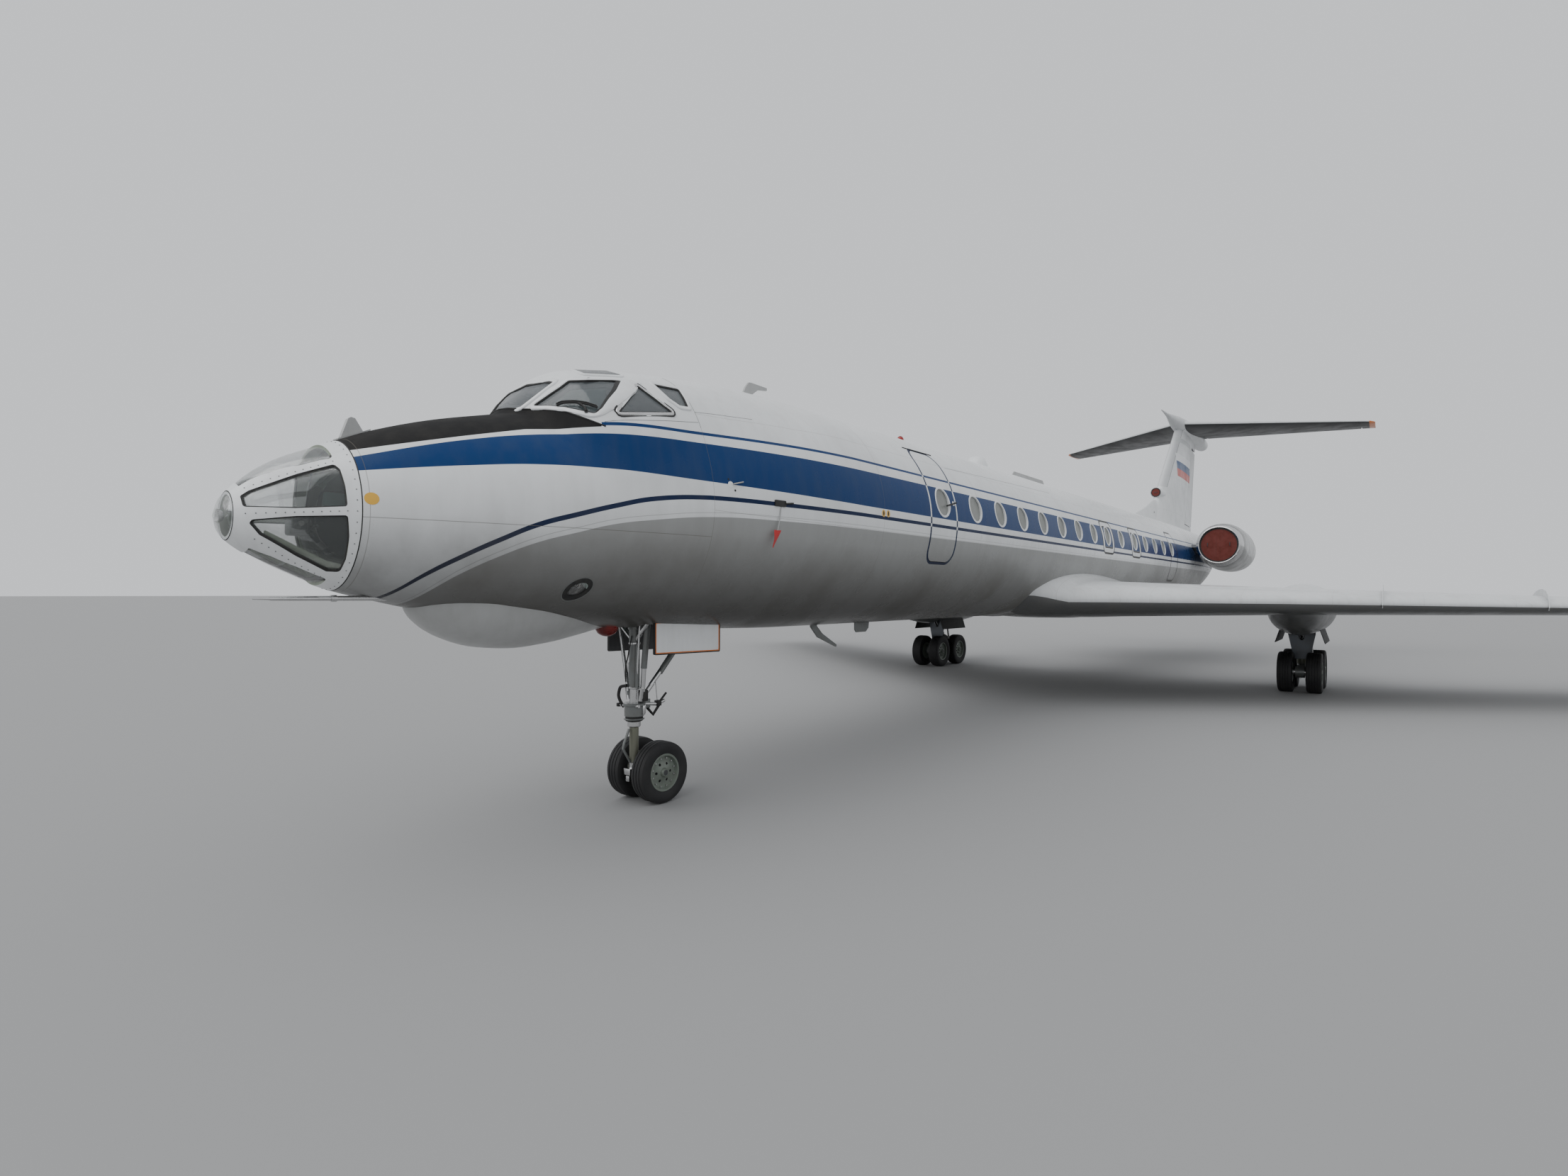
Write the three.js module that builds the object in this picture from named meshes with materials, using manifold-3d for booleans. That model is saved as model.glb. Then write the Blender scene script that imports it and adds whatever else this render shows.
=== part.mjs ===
// A twin-engined narrow-body airliner with a glazed nose, a T-tail and gear pods behind the wings.
// Millimetres. +X is to port, +Y aft and +Z up, from the ground under the middle of the aircraft.
// A station is the distance aft of the nose tip.
import * as THREE from "three";
import { mergeVertices } from "three/addons/utils/BufferGeometryUtils.js";
import Module from "manifold-3d";

const wasm = await Module();
wasm.setup();

// Driving dimensions
const overallLength = 37100;
const seat = 0.3; // between pieces that touch
const skin = 70; // fuselage wall, frames and lining together
const noseJoint = 745; // the glazed nose ends here
const frontJoint = 3660; // the flight deck ends here
const noseAxleStation = 3920; // station of the nose axle
const noseLegStation = 3730;
const gearStation = 19980; // middle of a bogie
const gearTrack = 4730; // half the track
const axleSpread = 1160;
const engineOffset = 2250;
const engineHeight = 3760;
const intakeStation = 24700;
const finHeight = 8600;

const at = (station) => station - overallLength / 2;

// Tables. Hull sections: station, top, bottom and half width of an upright ellipse.
const hullRows = [
  [0, 2800, 2780, 10],
  [40, 2915, 2665, 125],
  [100, 3000, 2600, 200],
  [250, 3160, 2500, 330],
  [440, 3285, 2400, 440],
  [745, 3422, 2272, 580],
  [1000, 3540, 2205, 680],
  [1470, 3710, 2100, 830],
  [2060, 3870, 2000, 990],
  [2600, 4020, 1950, 1110],
  [3200, 4180, 1910, 1220],
  [4000, 4420, 1870, 1330],
  [5000, 4620, 1830, 1420],
  [5900, 4705, 1812, 1448],
  [6800, 4710, 1810, 1450],
  [15500, 4710, 1810, 1450],
  [24500, 4710, 1810, 1450],
  [26500, 4708, 1870, 1430],
  [28500, 4700, 2060, 1350],
  [30500, 4670, 2400, 1180],
  [32300, 4600, 2840, 930],
  [33600, 4480, 3250, 660],
  [34300, 4350, 3560, 430],
  [34500, 4250, 3700, 300],
].map(([station, top, bottom, half]) => ({ station, top, bottom, half }));

// Flight deck canopy: station, top, half width and exponent of its arch, which springs at archHeight.
const archHeight = 3100;
const canopyRows = [
  [2080, 3880, 300, 2.2],
  [2200, 3990, 620, 2.3],
  [2400, 4200, 920, 2.4],
  [2620, 4370, 1060, 2.4],
  [2800, 4410, 1120, 2.4],
  [3100, 4470, 1170, 2.4],
  [3560, 4545, 1220, 2.3],
  [4000, 4600, 1270, 2.2],
  [4600, 4665, 1340, 2.1],
  [5200, 4705, 1390, 2],
  [5800, 4715, 1420, 2],
].map(([station, top, half, power]) => ({ station, top, half, power }));

// Chin radome: station, lowest point and half width; its axis is at radomeAxis.
const radomeAxis = 2220;
const radomeRows = [
  [1290, 2170, 60],
  [1400, 2010, 270],
  [1600, 1872, 410],
  [1900, 1775, 500],
  [2250, 1745, 520],
  [2600, 1775, 480],
  [2950, 1835, 380],
  [3250, 1893, 230],
  [3420, 1922, 80],
].map(([station, bottom, half]) => ({ station, bottom, half }));

// Half wing: distance from the middle, leading edge, trailing edge, height and thickness.
const wingRows = [
  [500, 12150, 20450, 2300, 1120],
  [1100, 12450, 20300, 2295, 1100],
  [1250, 12700, 20100, 2250, 980],
  [1400, 12930, 19920, 2190, 860],
  [1540, 13083, 19811, 2149, 772],
  [2000, 13510, 19870, 2145, 730],
  [4730, 15645, 20550, 2115, 560],
  [9000, 18980, 22617, 2050, 380],
  [14100, 22970, 25085, 1985, 210],
  [14505, 23500, 25250, 1980, 60],
].map(([out, lead, trail, height, thick]) => ({ out, lead, trail, height, thick }));

// Fairing under the wings: station, top, bottom and half width.
const bellyRows = [
  [12800, 2300, 1850, 300],
  [14500, 2400, 1740, 900],
  [17500, 2400, 1665, 1150],
  [20500, 2400, 1665, 1150],
  [22500, 2400, 1740, 850],
  [24300, 2300, 1850, 300],
].map(([station, top, bottom, half]) => ({ station, top, bottom, half }));

// Gear pod: station, top, bottom and half width.
const podRows = [
  [16900, 2010, 1950, 40],
  [17400, 2120, 1700, 290],
  [18200, 2310, 1440, 500],
  [19200, 2470, 1320, 610],
  [20400, 2520, 1300, 640],
  [21600, 2460, 1380, 590],
  [22800, 2320, 1580, 440],
  [23800, 2170, 1800, 220],
  [24400, 2030, 1950, 40],
].map(([station, top, bottom, half]) => ({ station, top, bottom, half }));

// Fin: height, leading edge, trailing edge and thickness.
const finRows = [
  [4300, 25450, 32560, 560],
  [5200, 26430, 32790, 520],
  [6900, 28290, 33200, 420],
  [finHeight, 30150, 33620, 330],
].map(([height, lead, trail, thick]) => ({ height, lead, trail, thick }));

// Dorsal fairing ahead of the fin: station, top and half width.
const dorsalRows = [
  [23800, 4740, 20],
  [25300, 5120, 110],
  [26600, 5500, 170],
  [27900, 5620, 190],
].map(([station, top, half]) => ({ station, top, half }));

// Tailplane, each side: distance from the middle, leading edge, trailing edge, height and thickness.
const tailplaneRows = [
  [0, 30050, 33850, 8750, 400],
  [300, 30370, 34010, 8763, 380],
  [5600, 35220, 36890, 8985, 170],
  [5900, 35680, 37100, 9000, 60],
].map(([out, lead, trail, height, thick]) => ({ out, lead, trail, height, thick }));

// Fairing at the crossing of fin and tailplane: station, radius, height of its axis, and top.
const bulletRows = [
  [27650, 12, 8820, 8832],
  [28700, 70, 8800, 8885],
  [29400, 150, 8775, 8965],
  [30300, 240, 8755, 9050],
  [31500, 290, 8750, 9110],
  [33200, 310, 8730, 9080],
  [34300, 290, 8690, 8960],
  [35100, 230, 8670, 8850],
  [35420, 110, 8670, 8770],
].map(([station, radius, axis, top]) => ({ station, radius, axis, top }));

// Geometry helpers

// A closed geometry as a solid, with its faces turned outwards.
function solid(geometry) {
  geometry.deleteAttribute("normal");
  geometry.deleteAttribute("uv");
  const merged = mergeVertices(geometry, 0.01);
  const points = merged.attributes.position.array;
  const index = merged.index.array;
  const corners = [new THREE.Vector3(), new THREE.Vector3(), new THREE.Vector3()];
  let volume = 0;
  const faces = [];
  for (let i = 0; i < index.length; i += 3) {
    const trio = [index[i], index[i + 1], index[i + 2]];
    if (new Set(trio).size < 3) continue;
    trio.forEach((v, k) => corners[k].fromArray(points, v * 3));
    volume += corners[0].dot(corners[1].clone().cross(corners[2]));
    faces.push(trio);
  }
  const turned = volume < 0 ? faces.map(([a, b, c]) => [a, c, b]) : faces;
  return new wasm.Manifold(
    new wasm.Mesh({
      numProp: 3,
      vertProperties: Float32Array.from(points),
      triVerts: Uint32Array.from(turned.flat()),
    }),
  );
}

function geometryOf(shape) {
  const mesh = shape.getMesh();
  const points = new Float32Array(mesh.numVert * 3);
  for (let i = 0; i < mesh.numVert; i++) {
    points.set(mesh.vertProperties.subarray(i * mesh.numProp, i * mesh.numProp + 3), i * 3);
  }
  const geometry = new THREE.BufferGeometry();
  geometry.setAttribute("position", new THREE.BufferAttribute(points, 3));
  geometry.setIndex(new THREE.BufferAttribute(mesh.triVerts, 1));
  geometry.computeVertexNormals();
  return geometry;
}

const join = (...shapes) => shapes.reduce((whole, next) => whole.add(next));

// Moves every vertex of a geometry by place(x, y, z), which returns the new point.
function warp(geometry, place) {
  const position = geometry.attributes.position;
  for (let i = 0; i < position.count; i++) {
    position.setXYZ(i, ...place(position.getX(i), position.getY(i), position.getZ(i)));
  }
  return geometry;
}

// A body along Y: point(row, u, v) places a point of the unit disc in the row's section.
function body(rows, around, point) {
  const last = rows.length - 1;
  const tube = new THREE.CylinderGeometry(1, 1, 1, around, last);
  return solid(
    warp(tube, (u, along, v) => {
      const row = rows[Math.round((along + 0.5) * last)];
      const [x, z] = point(row, u, v);
      return [x, at(row.station), z];
    }),
  );
}

// The rows of a table between two stations, with a row worked out at each end.
function between(rows, from, to) {
  const rowAt = (station) => {
    const next = Math.max(1, rows.findIndex((row) => row.station >= station));
    const [a, b] = [rows[next - 1], rows[next]];
    const share = (station - a.station) / (b.station - a.station);
    const made = {};
    for (const key of Object.keys(a)) made[key] = a[key] + (b[key] - a[key]) * share;
    return made;
  };
  return [rowAt(from), ...rows.filter((row) => row.station > from && row.station < to), rowAt(to)];
}

// An upright ellipse from a row's top, bottom and half width, made smaller all round by inset.
const ellipse = (inset, middle = 0) => (row, u, v) => [
  middle + u * (row.half - inset),
  (row.top + row.bottom) / 2 + v * ((row.top - row.bottom) / 2 - inset),
];

const power = (value, exponent) => Math.sign(value) * Math.abs(value) ** exponent;

const arch = (inset) => (row, u, v) => [
  power(u, 2 / row.power) * (row.half - inset),
  archHeight + power(v, 2 / row.power) * (v > 0 ? row.top - archHeight - inset : 300),
];

const hullSides = 32;
const hull = (from, to, inset = 0) => body(between(hullRows, from, to), hullSides, ellipse(inset));
const canopy = (from, to, inset = 0) => body(between(canopyRows, from, to), hullSides, arch(inset));

// A straight prism of an outline; place(u, v, w) puts its points in space, w running from 0 to 1.
function prism(outline, place) {
  const shape = new THREE.Shape(outline.map(([u, v]) => new THREE.Vector2(u, v)));
  const block = new THREE.ExtrudeGeometry(shape, { depth: 1, bevelEnabled: false });
  return solid(warp(block, place));
}
const prismX = (outline, from, to) =>
  prism(outline, (station, z, w) => [from + (to - from) * w, at(station), z]);
const prismY = (outline, from, to) =>
  prism(outline, (x, z, w) => [x, at(from + (to - from) * w), z]);
const prismZ = (outline, from, to) =>
  prism(outline, (x, station, w) => [x, at(station), from + (to - from) * w]);

const rectangle = (u0, u1, v0, v1) => [
  [u0, v0],
  [u1, v0],
  [u1, v1],
  [u0, v1],
];
const box = (x0, x1, s0, s1, z0, z1) => prismX(rectangle(s0, s1, z0, z1), x0, x1);

// A round bar between two points given as [x, station, z].
function rod(from, to, radius, endRadius = radius, sides = 10) {
  const a = new THREE.Vector3(from[0], at(from[1]), from[2]);
  const b = new THREE.Vector3(to[0], at(to[1]), to[2]);
  const bar = new THREE.CylinderGeometry(endRadius, radius, a.distanceTo(b), sides);
  const turn = new THREE.Quaternion();
  turn.setFromUnitVectors(new THREE.Vector3(0, 1, 0), b.clone().sub(a).normalize());
  bar.applyQuaternion(turn);
  bar.translate(...a.add(b).multiplyScalar(0.5).toArray());
  return solid(bar);
}

// A body of revolution about a line along Y, from [station, radius] points.
function turned(profile, sides, x, z) {
  const points = profile.map(([station, radius]) => new THREE.Vector2(radius, at(station)));
  const lathe = new THREE.LatheGeometry(points, sides);
  lathe.translate(x, 0, z);
  return solid(lathe);
}

// Half the outline of an aerofoil, unit chord and unit thickness, at chord shares close at the nose.
const chordShares = [0, 0.012, 0.05, 0.13, 0.27, 0.46, 0.7, 1];
const halfThickness = (c) =>
  c === 1 ? 0.02 : 5 * (0.2969 * Math.sqrt(c) - 0.126 * c - 0.3516 * c ** 2 + 0.2843 * c ** 3 - 0.1036 * c ** 4);
const foilOutline = [
  ...chordShares.map((c) => [c, halfThickness(c)]),
  ...chordShares.slice(1).reverse().map((c) => [c, -halfThickness(c)]),
];

// A lofted surface: place(row, alongChord, acrossChord) gives each section's points.
function surface(rows, place) {
  const shape = new THREE.Shape(foilOutline.map(([u, v]) => new THREE.Vector2(u, v)));
  const last = rows.length - 1;
  const block = new THREE.ExtrudeGeometry(shape, { depth: 1, steps: last, bevelEnabled: false });
  return solid(warp(block, (u, v, w) => place(rows[Math.round(w * last)], u, v)));
}

// A wing-like surface on one side: sign is 1 to port and -1 to starboard.
const sideSurface = (rows, sign) =>
  surface(rows, (row, u, v) => [
    sign * row.out,
    at(row.lead + u * (row.trail - row.lead)),
    row.height + v * row.thick,
  ]);

const mix = (a, b, share) => a + (b - a) * share;

// The row of a span table at a distance from the middle.
function rowOut(rows, out) {
  const next = Math.max(1, rows.findIndex((row) => row.out >= out));
  const [a, b] = [rows[next - 1], rows[next]];
  const share = (out - a.out) / (b.out - a.out);
  const made = {};
  for (const key of Object.keys(a)) made[key] = mix(a[key], b[key], share);
  return made;
}

// The wedge that a hinged surface is cut from: its nose is a V that opens by noseSlope from the hinge line.
// ends are [x, station, height] of the hinge line; rise and fall are how far the wedge reaches up and down.
function hingeWedge(ends, noseSlope, reach, rise = 600, fall = 600) {
  const outline = [
    [0, 0],
    [noseSlope * rise, rise],
    [reach, rise],
    [reach, -fall],
    [noseSlope * fall, -fall],
  ];
  const [a, b] = ends;
  return prism(outline, (u, v, w) => [
    mix(a[0], b[0], w),
    at(mix(a[1], b[1], w) + u),
    mix(a[2], b[2], w) + v,
  ]);
}

// Materials
const material = (color, roughness, metalness = 0) =>
  new THREE.MeshStandardMaterial({ color, roughness, metalness });
const white = material(0xe9ebec, 0.35);
const grey = material(0x9b9fa0, 0.45);
const darkGrey = material(0x3c3f41, 0.6);
const metal = material(0xb4b8ba, 0.35, 0.8);
const gearGrey = material(0x8e9494, 0.45, 0.4);
const rubber = material(0x151515, 0.85);
const glass = material(0x5d6a70, 0.08);
const red = material(0x8c2420, 0.7);
const fabric = material(0x4a4f55, 0.9);

const aircraft = new THREE.Group();
function piece(name, shape, look) {
  const mesh = new THREE.Mesh(geometryOf(shape), look);
  mesh.name = name;
  aircraft.add(mesh);
}

// Sides of the aircraft: name and sign
const sides = [
  ["port", 1],
  ["starboard", -1],
];

// Fuselage

const doorFrom = 7735;
const doorTo = 8475;
const doorLow = 2710;
const doorHigh = 4290;
const doorCorner = 170;
const bayHalf = 340;
const bayFrom = 3590;
const bayTo = 4700;
const bayTop = 2450;

function doorOutline(grow) {
  const [s0, s1, z0, z1] = [doorFrom - grow, doorTo + grow, doorLow - grow, doorHigh + grow];
  const c = doorCorner;
  return [
    [s0 + c, z0],
    [s1 - c, z0],
    [s1 - c * 0.3, z0 + c * 0.3],
    [s1, z0 + c],
    [s1, z1 - c],
    [s1 - c * 0.3, z1 - c * 0.3],
    [s1 - c, z1],
    [s0 + c, z1],
    [s0 + c * 0.3, z1 - c * 0.3],
    [s0, z1 - c],
    [s0, z0 + c],
    [s0 + c * 0.3, z0 + c * 0.3],
  ];
}

const tailEnd = 34500;
const cabinEnds = [7000, 9200];
const doorGap = 4;
const cabinOuter = hull(frontJoint + seat, tailEnd);
const cabinInner = hull(...cabinEnds, skin + seat);
const doorPanel = prismX(doorOutline(0), 500, 1600)
  .intersect(hull(cabinEnds[0], cabinEnds[1]))
  .subtract(hull(cabinEnds[0] - 10, cabinEnds[1] + 10, skin));
const doorCut = prismX(doorOutline(doorGap), 500, 1600).subtract(cabinInner);
const gearBay = box(-bayHalf, bayHalf, bayFrom, bayTo, 1500, bayTop);
const deckRoof = canopy(frontJoint + seat, 5800);
const bellyFairing = (inset) => body(bellyRows, 24, ellipse(inset));

// Antennas are flat blades on the centre line: station and z of their corners. Their feet are in the skin.
const hookAntenna = [
  [5380, 4500],
  [5400, 4690],
  [5550, 4935],
  [5900, 4930],
  [5900, 4895],
  [5730, 4870],
  [5600, 4780],
  [5600, 4500],
];
const plateAntenna = [
  [13900, 4600],
  [14000, 4950],
  [16150, 4950],
  [16150, 4600],
];
const bellyHook = [
  [6980, 1900],
  [6990, 1740],
  [7100, 1620],
  [7500, 1470],
  [7510, 1500],
  [7200, 1680],
  [7120, 1900],
];
const bellyPlate = [
  [8000, 1900],
  [8000, 1680],
  [8350, 1640],
  [8400, 1900],
];
const bladeHalf = 12;
const blade = (outline) => prismX(outline, -bladeHalf, bladeHalf);
// Dome on the roof: radius and z of its outline
const domeStation = 12300;
const domeOutline = [
  [0, 4500],
  [150, 4500],
  [150, 4810],
  [125, 4890],
  [70, 4940],
  [0, 4955],
];
const roofDome = new THREE.LatheGeometry(
  domeOutline.map(([radius, z]) => new THREE.Vector2(radius, z)),
  16,
);
roofDome.rotateX(Math.PI / 2);
roofDome.translate(0, at(domeStation), 0);
const fuselage = join(
  cabinOuter.add(deckRoof).subtract(doorCut).subtract(gearBay),
  bellyFairing(0),
  ...[hookAntenna, plateAntenna, bellyHook, bellyPlate].map(blade),
  solid(roofDome),
);
piece("fuselage", fuselage, white);
piece("entry_door", doorPanel, white);

// Flight deck shell with its windows

// Windows seen from ahead, to port: x and z of their corners.
const frontPanes = [
  [
    [-275, 3922],
    [275, 3922],
    [400, 4185],
    [0, 4222],
    [-400, 4185],
  ],
  [
    [386, 3925],
    [520, 4187],
    [708, 4250],
    [884, 3858],
    [866, 3834],
  ],
];
// Windows seen from the side: station and z of their corners.
const sidePanes = [
  [
    [2745, 3885],
    [3310, 3983],
    [3090, 4200],
  ],
  [
    [3335, 4290],
    [3615, 4300],
    [3573, 4090],
    [3470, 4085],
  ],
];
// Overhead windows: x and station of their corners.
const roofPane = [
  [300, 2720],
  [535, 2670],
  [600, 3050],
  [340, 3060],
];

const mirrored = (outline) => outline.map(([x, other]) => [-x, other]);
const paneFront = 2000;
const paneBack = 3300;
const windowCuts = join(
  prismY(frontPanes[0], paneFront, paneBack),
  prismY(frontPanes[1], paneFront, paneBack),
  prismY(mirrored(frontPanes[1]), paneFront, paneBack),
  ...sidePanes.flatMap((pane) => [prismX(pane, 600, 1400), prismX(pane, -1400, -600)]),
  prismZ(roofPane, 4100, 4600),
  prismZ(mirrored(roofPane), 4100, 4600),
);
const glassDepth = 18;
const bayBlock = box(-1500, 1500, bayFrom - 160, frontJoint + 100, 1500, bayTop + 70);
const deckOuter = hull(noseJoint, frontJoint).add(canopy(2080, frontJoint));
const deckHollow = (inset) =>
  hull(noseJoint - 50, frontJoint + 50, inset)
    .add(canopy(2080 + inset, frontJoint + 50, inset))
    .subtract(bayBlock);
// Antenna above the nose: station and z of its corners
const noseAntenna = [
  [790, 3350],
  [860, 3620],
  [905, 3630],
  [985, 3350],
];
// Boom below the nose: its tip, its foot in the skin, and its place
const boomTip = 200;
const boomFoot = 1330;
const boomSide = 130;
const boomHeight = 2212;
const boomRadius = 26;
const noseAntennaHalf = 25;
const deckShell = join(
  deckOuter,
  prismX(noseAntenna, -noseAntennaHalf, noseAntennaHalf),
  rod([boomSide, boomFoot, boomHeight], [boomSide, boomTip, boomHeight], boomRadius, 6),
)
  .subtract(deckHollow(skin))
  .subtract(windowCuts)
  .subtract(gearBay);
piece("flight_deck_shell", deckShell, white);

// One glass lining behind all the panes of the flight deck
const glassBand = box(-1300, 1300, 2150, 3652, 3800, 4500);
const paneLining = deckHollow(skin + seat).subtract(deckHollow(skin + seat + glassDepth));
const deckGlass = paneLining.intersect(glassBand);
piece("flight_deck_glass", deckGlass, glass);

// Glazed nose: a frame of bars with panes behind it

const noseSkin = 28;
const noseFrameFrom = 40;
// Openings on each side: station and z of their corners.
const noseSidePanes = [
  [
    [118, 2845],
    [111, 2922],
    [252, 3016],
    [620, 3188],
    [655, 3020],
    [659, 2875],
    [375, 2846],
  ],
  [
    [148, 2735],
    [383, 2793],
    [661, 2812],
    [680, 2659],
    [690, 2500],
    [684, 2408],
    [610, 2412],
    [416, 2519],
    [206, 2657],
  ],
];
// Openings above and below: x and station of their corners.
const noseTopPane = [
  [-110, 120],
  [110, 120],
  [215, 266],
  [300, 440],
  [352, 630],
  [-352, 630],
  [-300, 440],
  [-215, 266],
];
const noseFloorPane = [
  [-120, 180],
  [120, 180],
  [200, 450],
  [220, 640],
  [-220, 640],
  [-200, 450],
];
const noseCuts = join(
  ...noseSidePanes.flatMap((pane) => [prismX(pane, 100, 900), prismX(pane, -900, -100)]),
  prismZ(noseTopPane, 2950, 3700),
  prismZ(noseFloorPane, 1900, 2560),
  box(-300, 300, 0, 75, 2400, 3200), // clear tip
);
const noseOuter = hull(noseFrameFrom, noseJoint - seat);
const noseHollow = (inset) => hull(noseFrameFrom + 1, noseJoint + 20, inset);
const noseFrame = noseOuter.subtract(noseHollow(noseSkin)).subtract(noseCuts);
piece("nose_glazing_frame", noseFrame, white);
const tipRing = 75; // the clear tip ends here
const noseGlass = hull(0, tipRing - seat)
  .add(hull(noseFrameFrom + 20, noseJoint - seat, noseSkin + seat))
  .subtract(hull(noseFrameFrom + 20, noseJoint + 20, noseSkin + seat + 10));
piece("nose_glass", noseGlass, glass);

// Inside the glazed nose and the flight deck

const noseDeck = 2360;
const deckFloor = 2860;
const wallClear = 100;
const floorPlate = (from, to, height, thick) =>
  box(-1500, 1500, from, to, height - thick, height).intersect(deckHollow(skin + seat));
piece("navigator_floor", floorPlate(760, 2050, noseDeck, 60), darkGrey);
// Optical sight on its stand ahead of the seat, and a console at its side.
const sightFoot = 640;
piece(
  "navigator_sight",
  join(
    box(-60, 60, sightFoot, sightFoot + 240, noseDeck + seat, noseDeck + 60),
    rod([0, sightFoot + 60, noseDeck + 40], [0, sightFoot - 100, 2700], 32),
    box(-80, 80, sightFoot - 200, sightFoot - 40, 2680, 2880),
  ),
  darkGrey,
);
piece(
  "navigator_console",
  box(-430, -235, 1160, 1460, noseDeck + seat, 2920).intersect(deckHollow(wallClear)),
  darkGrey,
);
const seatPan = (x, station, height) =>
  box(x - 210, x + 210, station - 200, station + 200, height, height + 90);
const seatBack = (x, station, height) =>
  box(x - 200, x + 200, station + 200, station + 300, height, height + 640);
const seatPost = (x, station, low, height) => box(x - 90, x + 90, station - 90, station + 90, low, height);
const crewSeat = (x, station, floor, rise) =>
  join(
    seatPost(x, station, floor + seat, floor + rise),
    seatPan(x, station, floor + rise),
    seatBack(x, station, floor + rise),
  );
piece("navigator_seat", crewSeat(0, 1350, noseDeck, 230), fabric);
piece("flight_deck_floor", floorPlate(2051, 3655, deckFloor, 60), darkGrey);
for (const [side, sign] of sides) {
  piece(`pilot_seat_${side}`, crewSeat(sign * 520, 3180, deckFloor, 260), fabric);
}
const panelBack = 2480;
const instrumentPanel = prismX(
  [
    [panelBack, deckFloor + seat],
    [panelBack + 180, deckFloor + seat],
    [panelBack + 180, deckFloor + 560],
    [panelBack + 120, deckFloor + 900],
    [panelBack, deckFloor + 900],
  ],
  -800,
  800,
).intersect(deckHollow(wallClear));
piece("instrument_panel", instrumentPanel, darkGrey);

// Chin radome and the boom beside it

const radomeBody = (inset) =>
  body(radomeRows, 24, (row, u, v) => [
    u * (row.half - inset),
    radomeAxis + v * (v > 0 ? 180 : radomeAxis - row.bottom - inset),
  ]);
const hullGap = 0.5;
piece("chin_radome", radomeBody(0).subtract(hull(1000, frontJoint, -hullGap)), grey);

// Wings and what is hinged to them

const flapHinge = 0.72; // share of the chord
const aileronHinge = 0.74;
const spoilerFront = 0.6;
const endGap = 30;
const flapInnerGap = 120; // the inner end of a flap swings inwards as it goes down
const flapNose = 0.02; // a flap only turns down, so its nose is nearly upright
const aileronNose = 0.5; // tangent of the slope that clears the full turn
const flapSpans = [
  ["inner", 1540, 3980],
  ["outer", 5480, 9600],
];
const aileronSpan = [9700, 13700];
const spoilerSpan = [6100, 9000];
const flapReach = 2600;
const foilAt = (row, share, face) => row.height + face * row.thick * halfThickness(share);

// The hinge line of a wing surface between two distances from the middle; face is -1 at the lower skin.
function hingeLine(rows, span, share, face, sign) {
  return span.map((out) => {
    const row = rowOut(rows, out);
    return [sign * out, row.lead + share * (row.trail - row.lead), foilAt(row, share, face)];
  });
}

// The recess for a hinged surface: just ahead of its hinge line, and longer than it at each end.
function recess(line, reach, innerGap = endGap) {
  const [a, b] = line;
  const span = Math.abs(b[0] - a[0]);
  const ends = [-innerGap / span, 1 + endGap / span].map((share) => [
    mix(a[0], b[0], share),
    mix(a[1], b[1], share) - seat,
    mix(a[2], b[2], share),
  ]);
  return hingeWedge(ends, 0, reach);
}

// A thin plate along the chord that stands on the upper skin and wraps the leading edge.
const fencePlaces = [6230, 8700];
const fenceShares = [0.01, 0.05, 0.12, 0.22, 0.34, 0.46, 0.57];
const fenceRise = [120, 150, 165, 160, 130, 90, 20];
const fenceHalf = 8;
function fence(sign, out) {
  const row = rowOut(wingRows, out);
  const chord = row.trail - row.lead;
  const foot = fenceShares.map((share) => [row.lead + share * chord, foilAt(row, share, 1) - 30]);
  const crest = foot.map(([station, z], k) => [station, z + 30 + fenceRise[k]]).reverse();
  const nose = [
    [row.lead - 50, row.height],
    [row.lead + 30, row.height - 60],
  ];
  return prismX([...foot, ...crest, ...nose], sign * out - fenceHalf, sign * out + fenceHalf);
}

function wing(side, sign) {
  const whole = sideSurface(wingRows, sign);
  let fixed = join(whole, ...fencePlaces.map((out) => fence(sign, out)))
    .subtract(hull(11000, 22000, -hullGap))
    .subtract(bellyFairing(-hullGap))
    .subtract(podBody(sign, -hullGap));
  for (const [name, from, to] of flapSpans) {
    const low = hingeLine(wingRows, [from, to], flapHinge, -1, sign);
    const flap = whole
      .subtract(podBody(sign, -endGap))
      .intersect(hingeWedge(low, flapNose, flapReach));
    fixed = fixed.subtract(recess(low, flapReach, flapInnerGap));
    piece(`flap_${name}_${side}`, flap, white);
  }
  const middle = hingeLine(wingRows, aileronSpan, aileronHinge, 0, sign);
  piece(`aileron_${side}`, whole.intersect(hingeWedge(middle, aileronNose, flapReach)), white);
  fixed = fixed.subtract(recess(middle, flapReach));
  const lid = spoiler(sign, 0);
  fixed = fixed.subtract(spoiler(sign, spoilerGap));
  piece(`spoiler_${side}`, lid.intersect(whole), white);
  piece(`wing_${side}`, fixed, white);
}

// A spoiler: a plate let into the upper skin, hinged along its front edge.
const spoilerThick = 40;
const spoilerShort = 30; // from its rear edge to the flap
const spoilerGap = 18;
function spoiler(sign, grow) {
  const [from, to] = spoilerSpan;
  const corners = [from - grow, to + grow].map((out) => {
    const row = rowOut(wingRows, out);
    const chord = row.trail - row.lead;
    return { x: sign * out, row, front: row.lead + spoilerFront * chord, back: row.lead + flapHinge * chord };
  });
  const outline = rectangle(0, 1, 0, 1);
  return prism(outline, (u, v, w) => {
    const [a, b] = corners;
    const front = mix(a.front, b.front, w) - (grow ? seat : 0);
    const back = mix(a.back, b.back, w) - spoilerShort + grow;
    const share = mix(spoilerFront, flapHinge, u);
    const skinHeight = mix(foilAt(a.row, share, 1), foilAt(b.row, share, 1), w);
    return [mix(a.x, b.x, w), at(mix(front, back, u)), skinHeight - spoilerThick - grow + v * 200];
  });
}

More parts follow.
